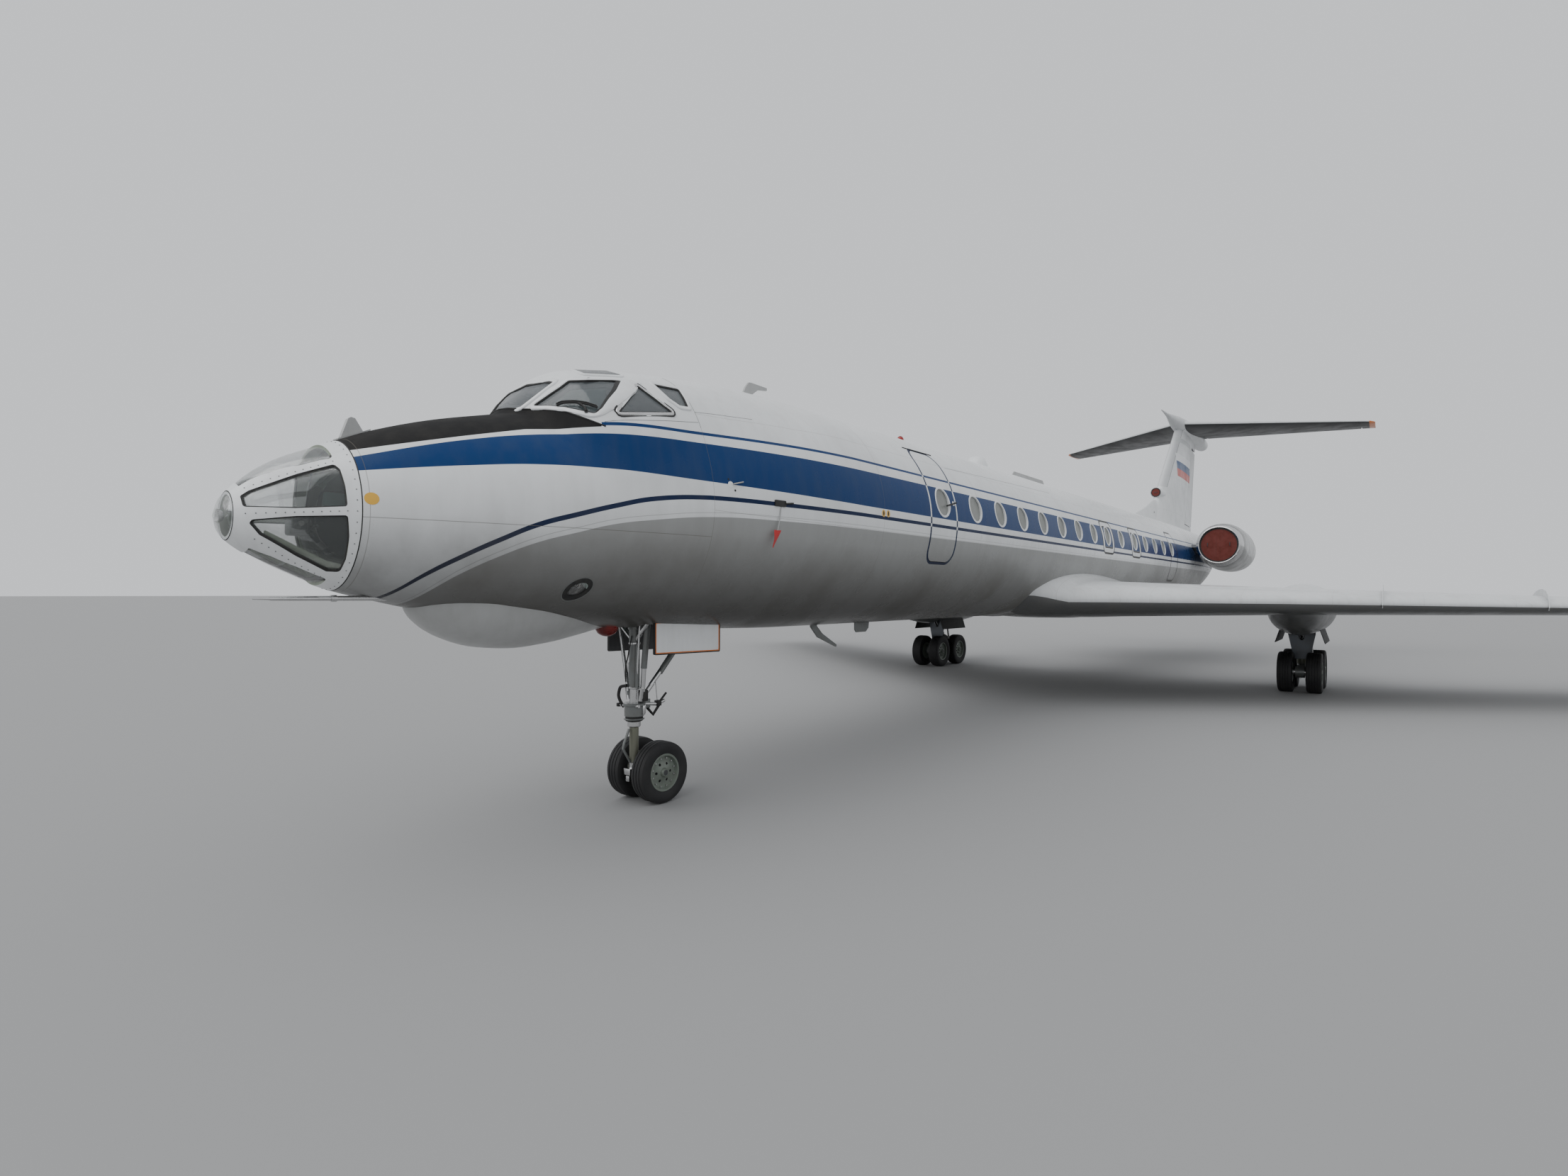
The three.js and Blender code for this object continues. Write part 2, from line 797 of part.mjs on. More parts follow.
const podSides = 24;
function podBody(sign, inset) {
  return body(podRows, podSides, ellipse(inset, sign * gearTrack));
}

const podBayFrom = 19150;
const podBayTo = 20900;
const podBayHalf = 330;
const podBayTop = 1950;
for (const [side, sign] of sides) {
  wing(side, sign);
  const x = sign * gearTrack;
  const bay = box(x - podBayHalf, x + podBayHalf, podBayFrom, podBayTo, 1000, podBayTop);
  const doors = [-1, 1].map((way) =>
    prismY(
      [
        [x + way * 360, 1520],
        [x + way * 380, 1520],
        [x + way * 490, 1140],
        [x + way * 470, 1140],
      ],
      podBayFrom + 100,
      podBayTo - 100,
    ),
  );
  piece(`gear_pod_${side}`, join(podBody(sign, 0).subtract(bay), ...doors), white);
}

// Fin, rudder, tailplane and elevators

const finBlade = (grow) =>
  surface(finRows, (row, u, v) => [
    v * (row.thick + 4 * grow),
    at(row.lead - grow + u * (row.trail - row.lead + 2 * grow)),
    row.height + (row.height === finHeight ? grow : 0),
  ]);
const finSurface = finBlade(0);
const dorsal = body(dorsalRows, 16, (row, u, v) => [
  u * row.half,
  v > 0 ? 4300 + v * (row.top - 4300) : 4300,
]);
const intakeTube = turned(
  [
    [26900, 0],
    [26900, 150],
    [26850, 165],
    [26900, 178],
    [27400, 190],
    [28700, 120],
    [28700, 0],
  ],
  16,
  0,
  5780,
);
piece(
  "fin_intake_plug",
  turned(
    [
      [26855, 0],
      [26855, 120],
      [26865, 132],
      [26900 - seat, 132],
      [26900 - seat, 0],
    ],
    16,
    0,
    5780,
  ),
  red,
);
const rudderHinge = 0.7;
const rudderLow = 4960;
const rudderHigh = 8060;
const rudderNose = 0.55;
const finAt = (height) => {
  const next = Math.max(1, finRows.findIndex((row) => row.height >= height));
  const [a, b] = [finRows[next - 1], finRows[next]];
  const share = (height - a.height) / (b.height - a.height);
  const lead = mix(a.lead, b.lead, share);
  return lead + rudderHinge * (mix(a.trail, b.trail, share) - lead);
};
function rudderWedge(low, high, slope, forward) {
  const outline = [
    [0, 0],
    [slope * 400, 400],
    [3500, 400],
    [3500, -400],
    [slope * 400, -400],
  ];
  return prism(outline, (u, v, w) => {
    const height = mix(low, high, w);
    return [v, at(finAt(height) + u - forward), height];
  });
}
const bullet = body(bulletRows, 16, (row, u, v) => [
  u * row.radius,
  row.axis + v * (v > 0 ? row.top - row.axis : row.radius),
]);
const mirroredRows = tailplaneRows.slice(1).reverse();
const tailRows = [...mirroredRows.map((row) => ({ ...row, out: -row.out })), ...tailplaneRows];
const tailSurface = (grow) =>
  surface(tailRows, (row, u, v) => [
    row.out,
    at(row.lead - grow + u * (row.trail - row.lead + 2 * grow)),
    row.height + v * (row.thick + 4 * grow),
  ]);
const tailWhole = tailSurface(0);
const tailCut = tailSurface(2 * seat);
piece("rudder", finSurface.intersect(rudderWedge(rudderLow, rudderHigh, rudderNose, 0)), white);
const finFixed = join(finSurface, dorsal, intakeTube)
  .subtract(hull(22000, tailEnd, -hullGap))
  .subtract(rudderWedge(rudderLow - endGap, rudderHigh + 90, 0, seat));
const bulletWhole = bullet.subtract(tailCut).subtract(finBlade(2 * seat));
const elevatorHinge = 0.7;
const elevatorSpan = [420, 5450];
const elevatorNose = 0.62;
const elevatorReach = 2200;
let tailFixed = tailWhole;
const elevators = sides.map(([side, sign]) => {
  const line = hingeLine(tailplaneRows, elevatorSpan, elevatorHinge, 0, sign);
  tailFixed = tailFixed.subtract(recess(line, elevatorReach));
  return [side, tailWhole.intersect(hingeWedge(line, elevatorNose, elevatorReach))];
});
for (const [side, shape] of elevators) piece(`elevator_${side}`, shape, white);
piece("tailplane", tailFixed, white);
piece("fin", finFixed.subtract(tailCut), white);
piece("tail_bullet", bulletWhole, white);

// Engines on pylons at the tail: profiles are station from the intake's lip, and radius

const engineRadius = 560;
const nacelleSides = 24;
const nacelleWall = [
  [40, 520],
  [0, 548],
  [30, 590],
  [220, 650],
  [800, 715],
  [1700, 760],
  [3300, 755],
  [4700, 690],
  [5700, 560],
  [6100, 500],
  [6100, 470],
  [5400, 540],
  [4900, engineRadius + seat],
  [1100, engineRadius + seat],
  [500, 520],
  [40, 520],
];
const enginePlug = [
  [1150, 0],
  [1150, engineRadius],
  [4700, engineRadius],
  [4750, 330],
  [5800, 90],
  [5900, 0],
];
const coverPlate = [
  [60, 0],
  [60, 519.5],
  [110, 519.5],
  [110, 0],
];
const alongEngine = (profile) => profile.map(([station, radius]) => [station + intakeStation, radius]);
const nacelleOutside = [[0, 0], ...nacelleWall.slice(1, 10), [6100, 0]].map(([s, r]) => [s, r ? r + 0.5 : 0]);
const pylonRows = [
  { out: 1000, lead: 25500, trail: 30300, height: 3760, thick: 330 },
  { out: 1900, lead: 25700, trail: 30100, height: 3760, thick: 300 },
];
for (const [side, sign] of sides) {
  const x = sign * engineOffset;
  const ring = (profile) => turned(alongEngine(profile), nacelleSides, x, engineHeight);
  piece(`nacelle_${side}`, ring(nacelleWall), white);
  piece(`engine_${side}`, ring(enginePlug), metal);
  piece(`intake_cover_${side}`, ring(coverPlate), red);
  const pylon = sideSurface(pylonRows, sign).subtract(hull(22000, tailEnd, -hullGap));
  piece(`pylon_${side}`, pylon.subtract(ring(nacelleOutside)), white);
}

// Nose gear

const noseTyre = { radius: 334, width: 200, offset: 200, rim: 200, half: 300 };
const mainTyre = { radius: 469, width: 300, offset: 275, rim: 270, half: 425 };
const tyreSides = 20;

// Both tyres, their rims and the tube between them, turned about a line along X.
function wheelPair(tyre, x, station) {
  const { radius, width, offset, rim, half } = tyre;
  const w = width / 2;
  const oneSide = [
    [half, 0],
    [half, rim * 0.3],
    [offset + w * 0.5, rim * 0.4],
    [offset + w * 0.75, rim],
    [offset + w, radius * 0.8],
    [offset + w * 0.6, radius],
    [offset - w * 0.6, radius],
    [offset - w, radius * 0.8],
    [offset - w * 0.75, rim],
    [offset - w * 0.75, rim * 0.3],
  ];
  const profile = [...oneSide, ...oneSide.slice().reverse().map(([along, r]) => [-along, r])];
  const lathe = new THREE.LatheGeometry(profile.map(([along, r]) => new THREE.Vector2(r, along)), tyreSides);
  lathe.rotateY(Math.PI / tyreSides); // a flat below
  lathe.rotateZ(Math.PI / 2);
  lathe.translate(x, at(station), radius * Math.cos(Math.PI / tyreSides));
  return solid(lathe);
}
const noseAxle = noseTyre.radius * Math.cos(Math.PI / tyreSides);
const mainAxle = mainTyre.radius * Math.cos(Math.PI / tyreSides);
piece("nose_wheels", wheelPair(noseTyre, 0, noseAxleStation), rubber);

const steeringTop = 820;
const bushRadius = (tube) => (tube + seat) / Math.cos(Math.PI / tyreSides);
const noseBush = bushRadius(noseTyre.rim * 0.3);
const noseFork = join(
  rod([0, noseLegStation, steeringTop], [0, noseLegStation, noseAxle - 60], 55, 55, 14),
  box(-58, 58, noseLegStation - 60, noseAxleStation + 95, noseAxle - 95, noseAxle + 95),
  box(-40, 40, noseLegStation - 110, noseLegStation - 50, noseAxle - 45, noseAxle + 45),
  rod([0, noseLegStation - 50, 430], [0, noseLegStation - 150, 600], 14),
  rod([0, noseLegStation - 150, 590], [0, noseLegStation - 50, 770], 14),
).subtract(rod([-400, noseAxleStation, noseAxle], [400, noseAxleStation, noseAxle], noseBush, noseBush, 20));
piece("nose_fork", noseFork, gearGrey);
const aboveBay = box(-500, 500, bayFrom - 100, bayTo + 100, bayTop - seat, bayTop + 300);
const legRadius = 60;
const collarRadius = 112;
const noseLeg = join(
  rod([0, noseLegStation, bayTop], [0, noseLegStation, 1030], legRadius, legRadius, 14),
  rod([0, noseLegStation, 1075], [0, noseLegStation, steeringTop + seat], collarRadius, collarRadius, 16),
  rod([90, noseLegStation + 30, 1050], [225, noseLegStation + 30, 2500], 33),
  rod([-90, noseLegStation, 1050], [-240, noseLegStation, 2500], 22),
  rod([0, noseLegStation, 1800], [310, noseLegStation - 30, 2260], 24),
  rod([0, noseLegStation, 1800], [-310, noseLegStation - 30, 2260], 24),
  rod([30, noseLegStation + 60, 1030], [30, noseLegStation + 430, 1050], 20),
  rod([30, noseLegStation + 330, 1030], [30, noseLegStation + 440, 1140], 12),
).subtract(aboveBay);
piece("nose_leg", noseLeg, gearGrey);
const strutFoot = noseLegStation + 60;
piece(
  "nose_drag_strut",
  rod([0, strutFoot, 1120], [0, bayTo + 40, 2050], 30)
    .subtract(box(-100, 100, bayTo - seat, bayTo + 200, 1500, bayTop))
    .subtract(rod([0, noseLegStation, 700], [0, noseLegStation, 2000], legRadius + 0.5, legRadius + 0.5, 14)),
  gearGrey,
);
const noseDoorFrom = 3600;
for (const [side, sign] of sides) {
  const door = box(sign * (bayHalf + 20), sign * (bayHalf + 50), noseDoorFrom + 100, 4650, 1590, 1905);
  piece(`nose_gear_door_${side}`, door.subtract(hull(3000, 6000, -hullGap)), white);
}

// Main gear

// Plate ahead of each leg: distance from its middle and z of its corners
const legFairing = [
  [-155, 740],
  [155, 740],
  [270, 1330],
  [270, 1420],
  [-270, 1420],
  [-270, 1330],
];
const strutRadius = 45;
const bogieFront = gearStation - axleSpread / 2;
const bogieRear = gearStation + axleSpread / 2;
const mainBush = bushRadius(mainTyre.rim * 0.3);
for (const [side, sign] of sides) {
  const x = sign * gearTrack;
  for (const [place, station] of [
    ["front", bogieFront],
    ["rear", bogieRear],
  ]) {
    piece(`main_wheels_${place}_${side}`, wheelPair(mainTyre, x, station), rubber);
  }
  let beam = box(x - 80, x + 80, bogieFront - 130, bogieRear + 130, mainAxle - 130, mainAxle + 130);
  for (const station of [bogieFront, bogieRear]) {
    const ends = [-500, 500].map((across) => [x + across, station, mainAxle]);
    beam = beam.subtract(rod(...ends, mainBush, mainBush, 20));
  }
  piece(`bogie_beam_${side}`, beam, gearGrey);
  const legFoot = mainAxle + 130 + seat;
  const strutRod = (radius) =>
    rod([x, gearStation - 110, 1250], [x, podBayFrom + 80, podBayTop], radius);
  const plate = prismY(
    legFairing.map(([across, z]) => [x + across, z]),
    gearStation - 200,
    gearStation - 180,
  );
  const leg = join(
    rod([x, gearStation, legFoot], [x, gearStation, 1150], 90, 90, 14),
    rod([x, gearStation, 1000], [x, gearStation, podBayTop - seat], 125, 125, 14),
    box(x - 90, x + 90, gearStation - 185, gearStation, 1020, 1140),
    plate.subtract(strutRod(strutRadius + 2)),
  );
  piece(`main_leg_${side}`, leg, gearGrey);
  const strut = strutRod(strutRadius).subtract(
    box(x - 100, x + 100, podBayFrom - 100, podBayTo, podBayTop - seat, podBayTop + 200),
  );
  const legClear = rod([x, gearStation, 900], [x, gearStation, podBayTop], 125.5, 125.5, 14);
  piece(`main_drag_strut_${side}`, strut.subtract(legClear), gearGrey);
}

export default aircraft;
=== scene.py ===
import math

import bmesh
import bpy
import numpy as np
from mathutils import Matrix, Vector
from mathutils.bvhtree import BVHTree


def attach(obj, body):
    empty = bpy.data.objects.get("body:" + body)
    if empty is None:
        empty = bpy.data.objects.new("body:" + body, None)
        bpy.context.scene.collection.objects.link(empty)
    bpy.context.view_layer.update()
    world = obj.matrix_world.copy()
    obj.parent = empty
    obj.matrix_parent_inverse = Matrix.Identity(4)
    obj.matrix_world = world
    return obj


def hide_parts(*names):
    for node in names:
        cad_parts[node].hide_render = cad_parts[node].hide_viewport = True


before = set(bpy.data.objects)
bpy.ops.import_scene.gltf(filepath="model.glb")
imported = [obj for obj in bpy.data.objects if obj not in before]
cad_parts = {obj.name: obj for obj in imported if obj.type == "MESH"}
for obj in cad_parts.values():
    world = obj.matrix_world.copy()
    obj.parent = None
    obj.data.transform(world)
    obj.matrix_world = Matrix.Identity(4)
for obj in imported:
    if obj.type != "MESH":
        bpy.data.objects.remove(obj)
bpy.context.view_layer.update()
scene = bpy.context.scene
halfLength = 18.55  # from the nose tip to the origin, along Y
bothSides = (("port", 1), ("starboard", -1))


def at(station):
    return station - halfLength


# camera, floor and light

camera = {
    "place": (6.33, -20.08, 2.28),
    "heading": 0.6805,  # radians from +Y towards starboard
    "pitch": 0.0045,
    "roll": 0.004,
    "focalPixels": 1055,
    "imageWidth": 2212,
    "sensor": 36,
}


def addCamera(values):
    data = bpy.data.cameras.new("camera")
    data.sensor_width = values["sensor"]
    data.lens = values["sensor"] * values["focalPixels"] / values["imageWidth"]
    data.clip_end = 2000
    obj = bpy.data.objects.new("camera", data)
    scene.collection.objects.link(obj)
    turn = values["heading"]
    ahead = Vector((-math.sin(turn), math.cos(turn), 0))
    right = Vector((math.cos(turn), math.sin(turn), 0))
    up = Vector((0, 0, 1))
    pitch, roll = values["pitch"], values["roll"]
    look = ahead * math.cos(pitch) + up * math.sin(pitch)
    above = up * math.cos(pitch) - ahead * math.sin(pitch)
    side = right * math.cos(roll) + above * math.sin(roll)
    above = above * math.cos(roll) - right * math.sin(roll)
    axes = Matrix((side, above, -look)).transposed().to_4x4()
    obj.matrix_world = Matrix.Translation(values["place"]) @ axes
    scene.camera = obj


addCamera(camera)

studio = {
    "floorSize": 600,
    "floorColor": (0.33, 0.33, 0.33, 1),
    "skyColor": (0.86, 0.88, 0.91, 1),
    "skyStrength": 0.95,
    "sunStrength": 1.4,
    "sunSoftness": 70,  # degrees
    "sunTilt": (38, -14),  # degrees about X and Y
}


def addStudio(values):
    world = bpy.data.worlds.new("sky")
    world.use_nodes = True
    back = world.node_tree.nodes["Background"]
    back.inputs["Color"].default_value = values["skyColor"]
    back.inputs["Strength"].default_value = values["skyStrength"]
    scene.world = world
    bm = bmesh.new()
    bmesh.ops.create_grid(bm, x_segments=2, y_segments=2, size=values["floorSize"] / 2)
    mesh = bpy.data.meshes.new("floor")
    bm.to_mesh(mesh)
    bm.free()
    floor = bpy.data.objects.new("floor", mesh)
    scene.collection.objects.link(floor)
    look = bpy.data.materials.new("floor")
    look.use_nodes = True
    shader = look.node_tree.nodes["Principled BSDF"]
    shader.inputs["Base Color"].default_value = values["floorColor"]
    shader.inputs["Roughness"].default_value = 0.9
    mesh.materials.append(look)
    sun = bpy.data.lights.new("sun", "SUN")
    sun.energy = values["sunStrength"]
    sun.angle = math.radians(values["sunSoftness"])
    lamp = bpy.data.objects.new("sun", sun)
    lamp.rotation_euler = [math.radians(a) for a in values["sunTilt"]] + [0]
    scene.collection.objects.link(lamp)


addStudio(studio)
print("camera and studio placed")

# shapes


def smoothAt(knots, values, wanted):
    # a smooth curve through the points of a table, which never swings past them
    x, y, w = (np.asarray(a, float) for a in (knots, values, wanted))
    step = np.diff(x)
    slope = np.diff(y) / step
    tangent = np.zeros(len(x))
    tangent[0], tangent[-1] = slope[0], slope[-1]
    for i in range(1, len(x) - 1):
        if slope[i - 1] * slope[i] > 0:
            a, b = 2 * step[i] + step[i - 1], step[i] + 2 * step[i - 1]
            tangent[i] = (a + b) / (a / slope[i - 1] + b / slope[i])
    k = np.clip(np.searchsorted(x, w) - 1, 0, len(step) - 1)
    t = np.clip((w - x[k]) / step[k], 0, 1)
    return (
        (2 * t**3 - 3 * t**2 + 1) * y[k]
        + (t**3 - 2 * t**2 + t) * step[k] * tangent[k]
        + (3 * t**2 - 2 * t**3) * y[k + 1]
        + (t**3 - t**2) * step[k] * tangent[k + 1]
    )


def columnsAt(rows, wanted):
    table = np.array(rows, float)
    return [float(smoothAt(table[:, 0], table[:, k], wanted)) for k in range(1, table.shape[1])]


def turnsOf(sides):
    return np.linspace(0, 2 * math.pi, sides, endpoint=False)


def skinOver(points, steps, merge):
    # a grid rolled up over rings of points: points[ring][place round the ring]
    rings, around = points.shape[:2]
    bm = bmesh.new()
    bmesh.ops.create_grid(bm, x_segments=around, y_segments=steps, size=0.5)
    for v in bm.verts:
        i = round((v.co.x + 0.5) * around) % around
        j = round((v.co.y + 0.5) * steps) % rings
        v.co = points[j, i]
    bmesh.ops.remove_doubles(bm, verts=bm.verts, dist=merge)
    return bm


def tube(points):
    # a skin over rings, closed at both ends
    points = np.asarray(points, float)
    bm = skinOver(points, len(points) - 1, 1e-5)
    edges = [e for e in bm.edges if e.is_boundary]
    middle = (points[0].mean(0) + points[-1].mean(0)) / 2
    run = points[-1].mean(0) - points[0].mean(0)
    for sign in (-1, 1):
        loop = [e for e in edges if sign * np.dot(np.array(e.verts[0].co) - middle, run) > 0]
        if loop:
            bmesh.ops.contextual_create(bm, geom=loop)
    bmesh.ops.recalc_face_normals(bm, faces=bm.faces)
    return bm


def band(points):
    # a skin over rings that joins its last ring to its first
    points = np.asarray(points, float)
    bm = skinOver(points, len(points), 1e-6)
    bmesh.ops.recalc_face_normals(bm, faces=bm.faces)
    return bm


def drawOut(bm, face, way):
    made = bmesh.ops.extrude_face_region(bm, geom=[face])
    lifted = [g for g in made["geom"] if isinstance(g, bmesh.types.BMVert)]
    bmesh.ops.translate(bm, verts=lifted, vec=way)
    bmesh.ops.recalc_face_normals(bm, faces=bm.faces)
    return bm


def prism(outline, axis, low, high):
    # an outline in the two other axes, drawn out along one
    bm = bmesh.new()
    others = [k for k in range(3) if k != axis]
    for pair in outline:
        place = [low] * 3
        place[others[0]], place[others[1]] = pair
        bm.verts.new(place)
    return drawOut(bm, bm.faces.new(bm.verts), [(high - low) * (k == axis) for k in range(3)])


def block(low, high, bevel=0.0, segments=2):
    bm = bmesh.new()
    size = [b - a for a, b in zip(low, high)]
    middle = [(a + b) / 2 for a, b in zip(low, high)]
    place = Matrix.Translation(middle) @ Matrix.Diagonal((*size, 1))
    bmesh.ops.create_cube(bm, size=1, matrix=place)
    if bevel:
        bmesh.ops.bevel(bm, geom=bm.edges[:], offset=bevel, affect="EDGES",
                        segments=segments, profile=0.5, material=-1)
    return bm


def rod(start, end, radius, endRadius=None, sides=24):
    start, end = Vector(start), Vector(end)
    bm = bmesh.new()
    turn = (end - start).to_track_quat("Z", "Y").to_matrix().to_4x4()
    place = Matrix.Translation((start + end) / 2) @ turn
    bmesh.ops.create_cone(bm, cap_ends=True, segments=sides, radius1=radius,
                          radius2=radius if endRadius is None else endRadius,
                          depth=(end - start).length, matrix=place)
    return bm


def revolve(profile, start, end, sides=64):
    # [distance along, radius] pairs turned about the line from start to end
    start, end = Vector(start), Vector(end)
    ahead = (end - start).normalized()
    out = ahead.orthogonal().normalized()
    bm = bmesh.new()
    verts = [bm.verts.new(start + ahead * run + out * radius) for run, radius in profile]
    edges = [bm.edges.new(pair) for pair in zip(verts, verts[1:])]
    bmesh.ops.spin(bm, geom=verts + edges, cent=start, axis=ahead, angle=2 * math.pi,
                   steps=sides, use_merge=True)
    bmesh.ops.remove_doubles(bm, verts=bm.verts, dist=1e-5)
    bmesh.ops.recalc_face_normals(bm, faces=bm.faces)
    return bm


def pipe(path, radius, sides=10, closed=False):
    # a round bar that follows a line of points
    path = [Vector(p) for p in path]
    rings, last = [], len(path) - 1
    out = (path[1] - path[0]).orthogonal().normalized()
    for k, point in enumerate(path):
        after = path[(k + 1) % len(path)] if closed else path[min(k + 1, last)]
        ahead = (after - path[k - 1 if closed else max(k - 1, 0)]).normalized()
        out = (out - ahead * out.dot(ahead)).normalized()
        across = ahead.cross(out)
        turns = [2 * math.pi * j / sides for j in range(sides)]
        rings.append([point + (out * math.cos(a) + across * math.sin(a)) * radius for a in turns])
    return band(rings) if closed else tube(rings)


def bend(points, steps=6):
    # a smooth line through a few points
    points = np.array(points, float)
    knots = np.arange(len(points))
    wanted = np.linspace(0, len(points) - 1, (len(points) - 1) * steps + 1)
    return np.stack([smoothAt(knots, points[:, k], wanted) for k in range(3)], 1)


def gather(*shapes):
    whole = bmesh.new()
    for shape in shapes:
        mesh = bpy.data.meshes.new("part")
        shape.to_mesh(mesh)
        shape.free()
        whole.from_mesh(mesh)
        bpy.data.meshes.remove(mesh)
    return whole


def paint(bm, index):
    for face in bm.faces:
        face.material_index = index
    return bm


def paintShadedUnderside(bm, index, tilt=-0.25):
    # faces of the first material that look down take another, darker paint: painted shade on the undersides
    bm.normal_update()
    for face in bm.faces:
        if face.material_index == 0 and face.normal.z < tilt:
            face.material_index = index
    return bm


def mirrored(bm, keep=True):
    # the same shape on the other side, and with keep the first one too
    other = bm.copy()
    bmesh.ops.scale(other, verts=other.verts, vec=(-1, 1, 1))
    bmesh.ops.reverse_faces(other, faces=other.faces)
    if keep:
        return gather(bm, other)
    bm.free()
    return other


def plainObject(bm, name="cutter"):
    mesh = bpy.data.meshes.new(name)
    bm.to_mesh(mesh)
    bm.free()
    obj = bpy.data.objects.new(name, mesh)
    scene.collection.objects.link(obj)
    return obj


def bakedMesh(obj):
    # the object's mesh with its modifiers worked in
    graph = bpy.context.evaluated_depsgraph_get()
    return bpy.data.meshes.new_from_object(obj.evaluated_get(graph))


def combine(bm, *cutters, operation="DIFFERENCE"):
    base = plainObject(bm, "base")
    tools = [plainObject(cutter) for cutter in cutters]
    for tool in tools:
        step = base.modifiers.new("cut", "BOOLEAN")
        step.operation = operation
        step.solver = "EXACT"
        step.object = tool
    made = bakedMesh(base)
    result = bmesh.new()
    result.from_mesh(made)
    for obj in [base, *tools]:
        old = obj.data
        bpy.data.objects.remove(obj)
        bpy.data.meshes.remove(old)
    bpy.data.meshes.remove(made)
    return result


def rounded(outline, radius, steps=5):
    points, count = [], len(outline)
    for i, corner in enumerate(outline):
        p = Vector(corner)
        back = Vector(outline[i - 1]) - p
        ahead = Vector(outline[(i + 1) % count]) - p
        reach = radius / max(math.tan(back.angle(ahead) / 2), 0.2)
        reach = min(reach, back.length * 0.45, ahead.length * 0.45)
        a, b = p + back.normalized() * reach, p + ahead.normalized() * reach
        for k in range(steps + 1):
            t = k / steps
            points.append(a * (1 - t) ** 2 + p * 2 * t * (1 - t) + b * t * t)
    return points


def grown(points, amount):
    # the outline moved outwards by amount
    count = len(points)
    area = sum(points[i - 1].x * points[i].y - points[i].x * points[i - 1].y for i in range(count))
    sign = 1 if area > 0 else -1
    made = []
    for i, p in enumerate(points):
        run = (points[(i + 1) % count] - points[i - 1]).normalized()
        made.append(p + Vector((run.y, -run.x)) * amount * sign)
    return made


def onSkin(tree, points, axis, far, inwards):
    # where lines along an axis meet a skin, with the skin's normal there
    others = [k for k in range(3) if k != axis]
    found = []
    for pair in points:
        start = Vector((far, far, far))
        start[others[0]], start[others[1]] = pair
        way = Vector([inwards * (k == axis) for k in range(3)])
        place, normal, _, _ = tree.ray_cast(start, way)
        if place is None:
            place, normal, _, _ = tree.find_nearest(start + way * 1.0)
        found.append((place, normal))
    return found


def rim(tree, outline, axis, far, inwards, profile):
    # a moulding round an opening; profile gives [distance outwards, height above the skin]
    rings = []
    for out, lift in profile:
        spots = onSkin(tree, grown(outline, out), axis, far, inwards)
        rings.append([place + normal * lift for place, normal in spots])
    return band(rings)


def flatPane(tree, outline, axis, far, inwards, depth, thick):
    # a flat sheet of glass just inside an opening
    spots = onSkin(tree, outline, axis, far, inwards)
    points = np.array([place - normal * depth for place, normal in spots])
    outside = sum((normal for _, normal in spots), Vector()).normalized()
    middle = points.mean(0)
    normal = np.linalg.svd(points - middle)[2][2]
    if np.dot(normal, outside) < 0:
        normal = -normal
    flat = points - np.outer((points - middle) @ normal, normal)
    flat = flat - normal * max(0, ((flat - points) @ normal).max())
    bm = bmesh.new()
    face = bm.faces.new([bm.verts.new(p) for p in flat])
    return drawOut(bm, face, Vector(-normal * thick))


def along(points, pitch):
    # places at an even pitch on a line of points
    points = np.array(points, float)
    runs = np.r_[0, np.cumsum(np.linalg.norm(np.diff(points, axis=0), axis=1))]
    wanted = np.linspace(0, runs[-1], max(2, round(runs[-1] / pitch) + 1))
    return [Vector(row) for row in np.stack([np.interp(wanted, runs, c) for c in points.T], 1)]


def studs(spots, radius, rise, sides=8):
    # round heads at pairs of a place and its normal
    return gather(*[rod(p - n * 0.002, p + n * rise, radius, radius * 0.7, sides) for p, n in spots])


def onHull(tree, points, lift=0.0):
    # the places nearest to some points, lifted off the skin
    found = [tree.find_nearest(Vector(point))[:2] for point in points]
    return [place + normal * lift for place, normal in found]


def disc(across, up, halfAcross, halfUp, tilt=0.0, sides=40):
    # an ellipse as an outline
    turns = turnsOf(sides)
    c, s = math.cos(tilt), math.sin(tilt)
    return [Vector((across + math.cos(a) * halfAcross * c - math.sin(a) * halfUp * s,
                    up + math.cos(a) * halfAcross * s + math.sin(a) * halfUp * c)) for a in turns]


def addPiece(name, bm, paints, replaces=(), body="airframe", sharp=35):
    obj = plainObject(bm, name)
    for key in paints:
        obj.data.materials.append(looks[key])
    obj.data.shade_smooth()
    obj.data.set_sharp_from_angle(angle=math.radians(sharp))
    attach(obj, body)
    if replaces:
        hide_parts(*replaces)
    return obj


def sideOn(points):
    # stations and heights as an outline seen from the side
    return [(at(s), z) for s, z in points]


# materials


def fill(node, inputs):
    # a socket or a plain value for each input, by name or number
    for key, value in inputs.items():
        if isinstance(value, bpy.types.NodeSocket):
            node.id_data.links.new(value, node.inputs[key])
        else:
            node.inputs[key].default_value = value


def wire(tree, kind, inputs, **settings):
    node = tree.nodes.new("ShaderNode" + kind)
    for key, value in settings.items():
        setattr(node, key, value)
    fill(node, inputs)
    return node


def math2(operation, a, b=0.0, clamp=False):
    # a Math node, in the tree that one of its inputs comes from
    tree = (a if isinstance(a, bpy.types.NodeSocket) else b).id_data
    return wire(tree, "Math", {0: a, 1: b}, operation=operation, use_clamp=clamp).outputs[0]


def times(a, b):
    return math2("MULTIPLY", a, b)


def plus(a, b, clamp=False):
    return math2("ADD", a, b, clamp)


def minus(a, b):
    return math2("SUBTRACT", a, b)


def larger(a, b):
    return math2("MAXIMUM", a, b)


def isOver(a, b):
    return math2("GREATER_THAN", a, b)


def isUnder(a, b):
    return math2("LESS_THAN", a, b)


def absolute(a):
    return math2("ABSOLUTE", a)


